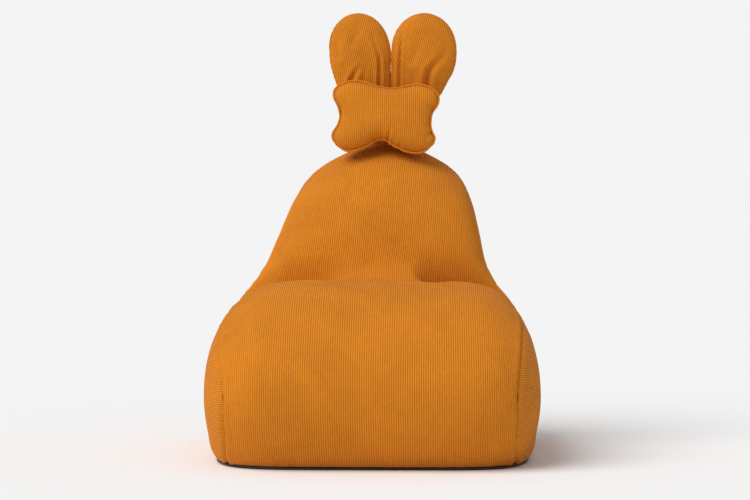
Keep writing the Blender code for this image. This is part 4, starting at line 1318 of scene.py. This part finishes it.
def liner_faces(half_wide, half_tall):
    """The liner's rear faces with their middles inside a window round the zip."""
    found = []
    for face in bm.faces:
        x, y, z = face.calc_center_median()
        if y > 0.2 and abs(x) < half_wide and abs(z - LINER_SLOT_Z) < half_tall:
            found.append(face)
    return found


for point, normal in SLOT_PLANES:
    near = liner_faces(1.0, 0.04)
    geom = list({v for f in near for v in f.verts} | {e for f in near for e in f.edges} | set(near))
    bmesh.ops.bisect_plane(bm, geom=geom, plane_co=point, plane_no=normal, dist=1e-6)
bmesh.ops.delete(bm, geom=liner_faces(LINER_SLOT_HALF, LINER_SLOT_TALL), context="FACES")
bm.to_mesh(liner.data)
bm.free()
dress(liner, ["inner_liner"], "bag")
beads = inner_skin("bead_mass", FILL_INSET, FILL_FLOOR, BEADS, bead_lumps)
dress(beads, ["bead_fill"], "bag")

# %% [markdown]
# ## Zips
# A coil zip's teeth are one nylon wire, wound into a coil and sewn to the woven tape. The wire is
# 0.7 mm and its turns are 1.5 mm apart. The tapes, stops, sliders and the pull are right as they are
# in the CAD, so they keep their shape and take their finish here.

# %% Coils
COIL_PITCH, COIL_WIRE, COIL_SIDES, COIL_TURN = 0.0015, 0.00033, 5, 10


def wound_coil(name, node_name):
    """A wire wound through the box of its CAD node."""
    low, high = (np.array(corner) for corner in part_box(node_name))
    middle, half = (low + high) / 2, (high - low) / 2 - COIL_WIRE
    turns = int((high[0] - low[0]) / COIL_PITCH)
    angle = np.linspace(0, 2 * math.pi * turns, turns * COIL_TURN + 1)
    x = np.linspace(low[0] + COIL_WIRE, high[0] - COIL_WIRE, len(angle))
    out = np.stack([np.zeros(len(angle)), np.cos(angle), np.sin(angle)], axis=1)
    path = out * half + middle
    path[:, 0] = x
    along = np.gradient(path, axis=0)
    along /= np.linalg.norm(along, axis=1)[:, None]
    side = np.cross(along, out)
    side /= np.linalg.norm(side, axis=1)[:, None]
    up = np.cross(side, along)
    corners = np.arange(COIL_SIDES) / COIL_SIDES * 2 * math.pi
    verts = path[:, None] + COIL_WIRE * (
        side[:, None] * np.cos(corners)[None, :, None] + up[:, None] * np.sin(corners)[None, :, None]
    )
    faces = ring_faces(len(path), COIL_SIDES) + end_caps(len(path), COIL_SIDES)
    made = mesh_object(name, verts.reshape(-1, 3), [face[::-1] for face in faces], nylon)
    return dress(made, [node_name], body="bag")


for prefix in ("cover", "liner"):
    for half in ("upper", "lower"):
        wound_coil(f"{prefix}_zip_teeth_{half}", f"{prefix}_zip_coil_{half}")


# %% Finishes of the CAD's own pieces
def finish_node(node_name, material):
    """Gives a CAD node a new material."""
    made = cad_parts[node_name]
    made.data.materials.clear()
    made.data.materials.append(material)


for prefix in ("cover_zip", "liner_zip"):
    for half in ("upper", "lower"):
        finish_node(f"{prefix}_tape_{half}", TAPE_CLOTH)
    for end in ("left", "right"):
        finish_node(f"{prefix}_stop_{end}", PLATED)
    finish_node(f"{prefix}_slider", PLATED)
finish_node("cover_zip_pull", PLATED)
print("zip pieces finished")

# %% [markdown]
# ## Carry handle
# The handle is a corduroy tube, stuffed and sewn down flat at both ends to a patch on the rear. Its
# wales run along it. The patch is a flat strip of the same cloth that follows the rear's skin, so it
# takes the skin's own relief and stands a little off it.

# %% Handle tube
HANDLE_TOP, HANDLE_LOW = (0.2920, 0.5850), (0.3340, 0.4750)
HANDLE_HALF_WIDE, HANDLE_RADIUS, HANDLE_LEG, HANDLE_START = 0.0500, 0.0085, 0.0480, 0.0100
HANDLE_WALES, HANDLE_STEPS = 12, 110
drop = np.array([0.0, HANDLE_LOW[0] - HANDLE_TOP[0], HANDLE_LOW[1] - HANDLE_TOP[1]])
drop /= np.linalg.norm(drop)
handle_out = np.array([0.0, -drop[2], drop[1]])
leg = HANDLE_LEG - HANDLE_START
whole = 2 * leg + math.pi * HANDLE_HALF_WIDE
verts, wales = [], []
HANDLE_ROUND = HANDLE_WALES * 4
for step in range(HANDLE_STEPS + 1):
    run = whole * step / HANDLE_STEPS
    if run < leg:
        flat, way = (-HANDLE_HALF_WIDE, HANDLE_START + run), (0.0, 1.0)
    elif run > whole - leg:
        flat, way = (HANDLE_HALF_WIDE, HANDLE_START + whole - run), (0.0, -1.0)
    else:
        turn = (run - leg) / HANDLE_HALF_WIDE
        flat = (-HANDLE_HALF_WIDE * math.cos(turn), HANDLE_LEG + HANDLE_HALF_WIDE * math.sin(turn))
        way = (math.sin(turn), math.cos(turn))
    centre = np.array([float(lean_at(HANDLE_TOP[1])) + flat[0], *HANDLE_TOP]) + drop * flat[1]
    across = np.array([-way[1], 0.0, 0.0]) + drop * way[0]
    end = min(run, whole - run) / 0.016
    flatness = 0.42 + 0.58 * min(max(end, 0.0), 1.0) ** 0.7
    crumple = 1 + 0.035 * math.sin(run * 260) + 0.02 * math.sin(run * 610 + 1.0)
    for j in range(HANDLE_ROUND):
        angle = 2 * math.pi * j / HANDLE_ROUND
        rib = 1 - 0.045 * (0.5 + 0.5 * math.cos(angle * HANDLE_WALES))
        size = (HANDLE_RADIUS - 0.0004) * rib * crumple / 1.055
        wide, thick = size * (1 + 0.15 * (1 - flatness)), size * flatness
        verts.append(centre + across * wide * math.cos(angle) + handle_out * thick * math.sin(angle))
        wales.append(j / 4)
faces = ring_faces(HANDLE_STEPS + 1, HANDLE_ROUND) + end_caps(HANDLE_STEPS + 1, HANDLE_ROUND)
handle = mesh_object("stuffed_carry_handle", verts, faces, CORDUROY, {"wale": wales})
turn_outward(handle)
dress(handle, ["carry_handle"], "carry_handle")
print("handle tube of", round(whole, 3), "m")

# %% Handle patch
ANCHOR_HALF_WIDE, ANCHOR_HALF_TALL, ANCHOR_OFF = 0.0720, 0.0110, 0.0024
ANCHOR_ROWS, ANCHOR_COLUMNS = 13, 145
anchor_turn = polar((HANDLE_TOP[0] - 0.014, HANDLE_TOP[1]))[0]
anchor_span = math.degrees(ANCHOR_HALF_TALL / float(profile_radius(anchor_turn)))
anchor_lean = float(lean_at(HANDLE_TOP[1]))


def anchor_point(u, v, off):
    """A place on the patch: u across and v up, each from -1 to 1, and off above the skin."""
    turn = anchor_turn + v * anchor_span
    swings = np.linspace(-80, 80, 801)
    line = skin_points(turn, swings, -off)
    wanted = u * ANCHOR_HALF_WIDE + anchor_lean
    return skin_points(turn, np.interp(wanted, line[:, 0], swings), -off)


patch_u, patch_v = np.linspace(-1, 1, ANCHOR_COLUMNS), np.linspace(-1, 1, ANCHOR_ROWS)
grid = np.concatenate([anchor_point(patch_u, v, 0.0) for v in patch_v])
base_lift = bag_relief(grid, np.zeros(grid.shape)).reshape(ANCHOR_ROWS, -1)
verts, wales, faces = [], [], []
for layer in (0, 1):
    for i, v in enumerate(patch_v):
        u = patch_u
        edge = np.minimum(1 - abs(v) ** 14, 1 - np.abs(u) ** 60)
        off = ANCHOR_OFF * (0.25 if layer else edge * 0.75 + 0.25)
        row = anchor_point(u, v, 0.0)
        out = row - np.array([0.0, CORE_Y, CORE_Z])
        out[:, 0] *= 0.25
        out /= np.linalg.norm(out, axis=1)[:, None]
        rib = 0.0004 * np.cos(2 * math.pi * u * ANCHOR_HALF_WIDE / WALE) * (1 - layer)
        verts.append(row + out * (off + 0.0003 + base_lift[i] + rib)[:, None])
        wales.append(u * ANCHOR_HALF_WIDE / WALE + 0.5)
for layer in (0, 1):
    start = layer * ANCHOR_ROWS * ANCHOR_COLUMNS
    for i in range(ANCHOR_ROWS - 1):
        for j in range(ANCHOR_COLUMNS - 1):
            a = start + i * ANCHOR_COLUMNS + j
            faces.append((a, a + 1, a + ANCHOR_COLUMNS + 1, a + ANCHOR_COLUMNS))
wales = {"wale": np.concatenate(wales)}
anchor = mesh_object("handle_patch", np.concatenate(verts), faces, CORDUROY, wales)
bm = bmesh.new()
bm.from_mesh(anchor.data)
rim = [e for e in bm.edges if e.is_boundary]
bmesh.ops.bridge_loops(bm, edges=rim)
bm.to_mesh(anchor.data)
bm.free()
turn_outward(anchor)
dress(anchor, ["handle_anchor"], "bag")
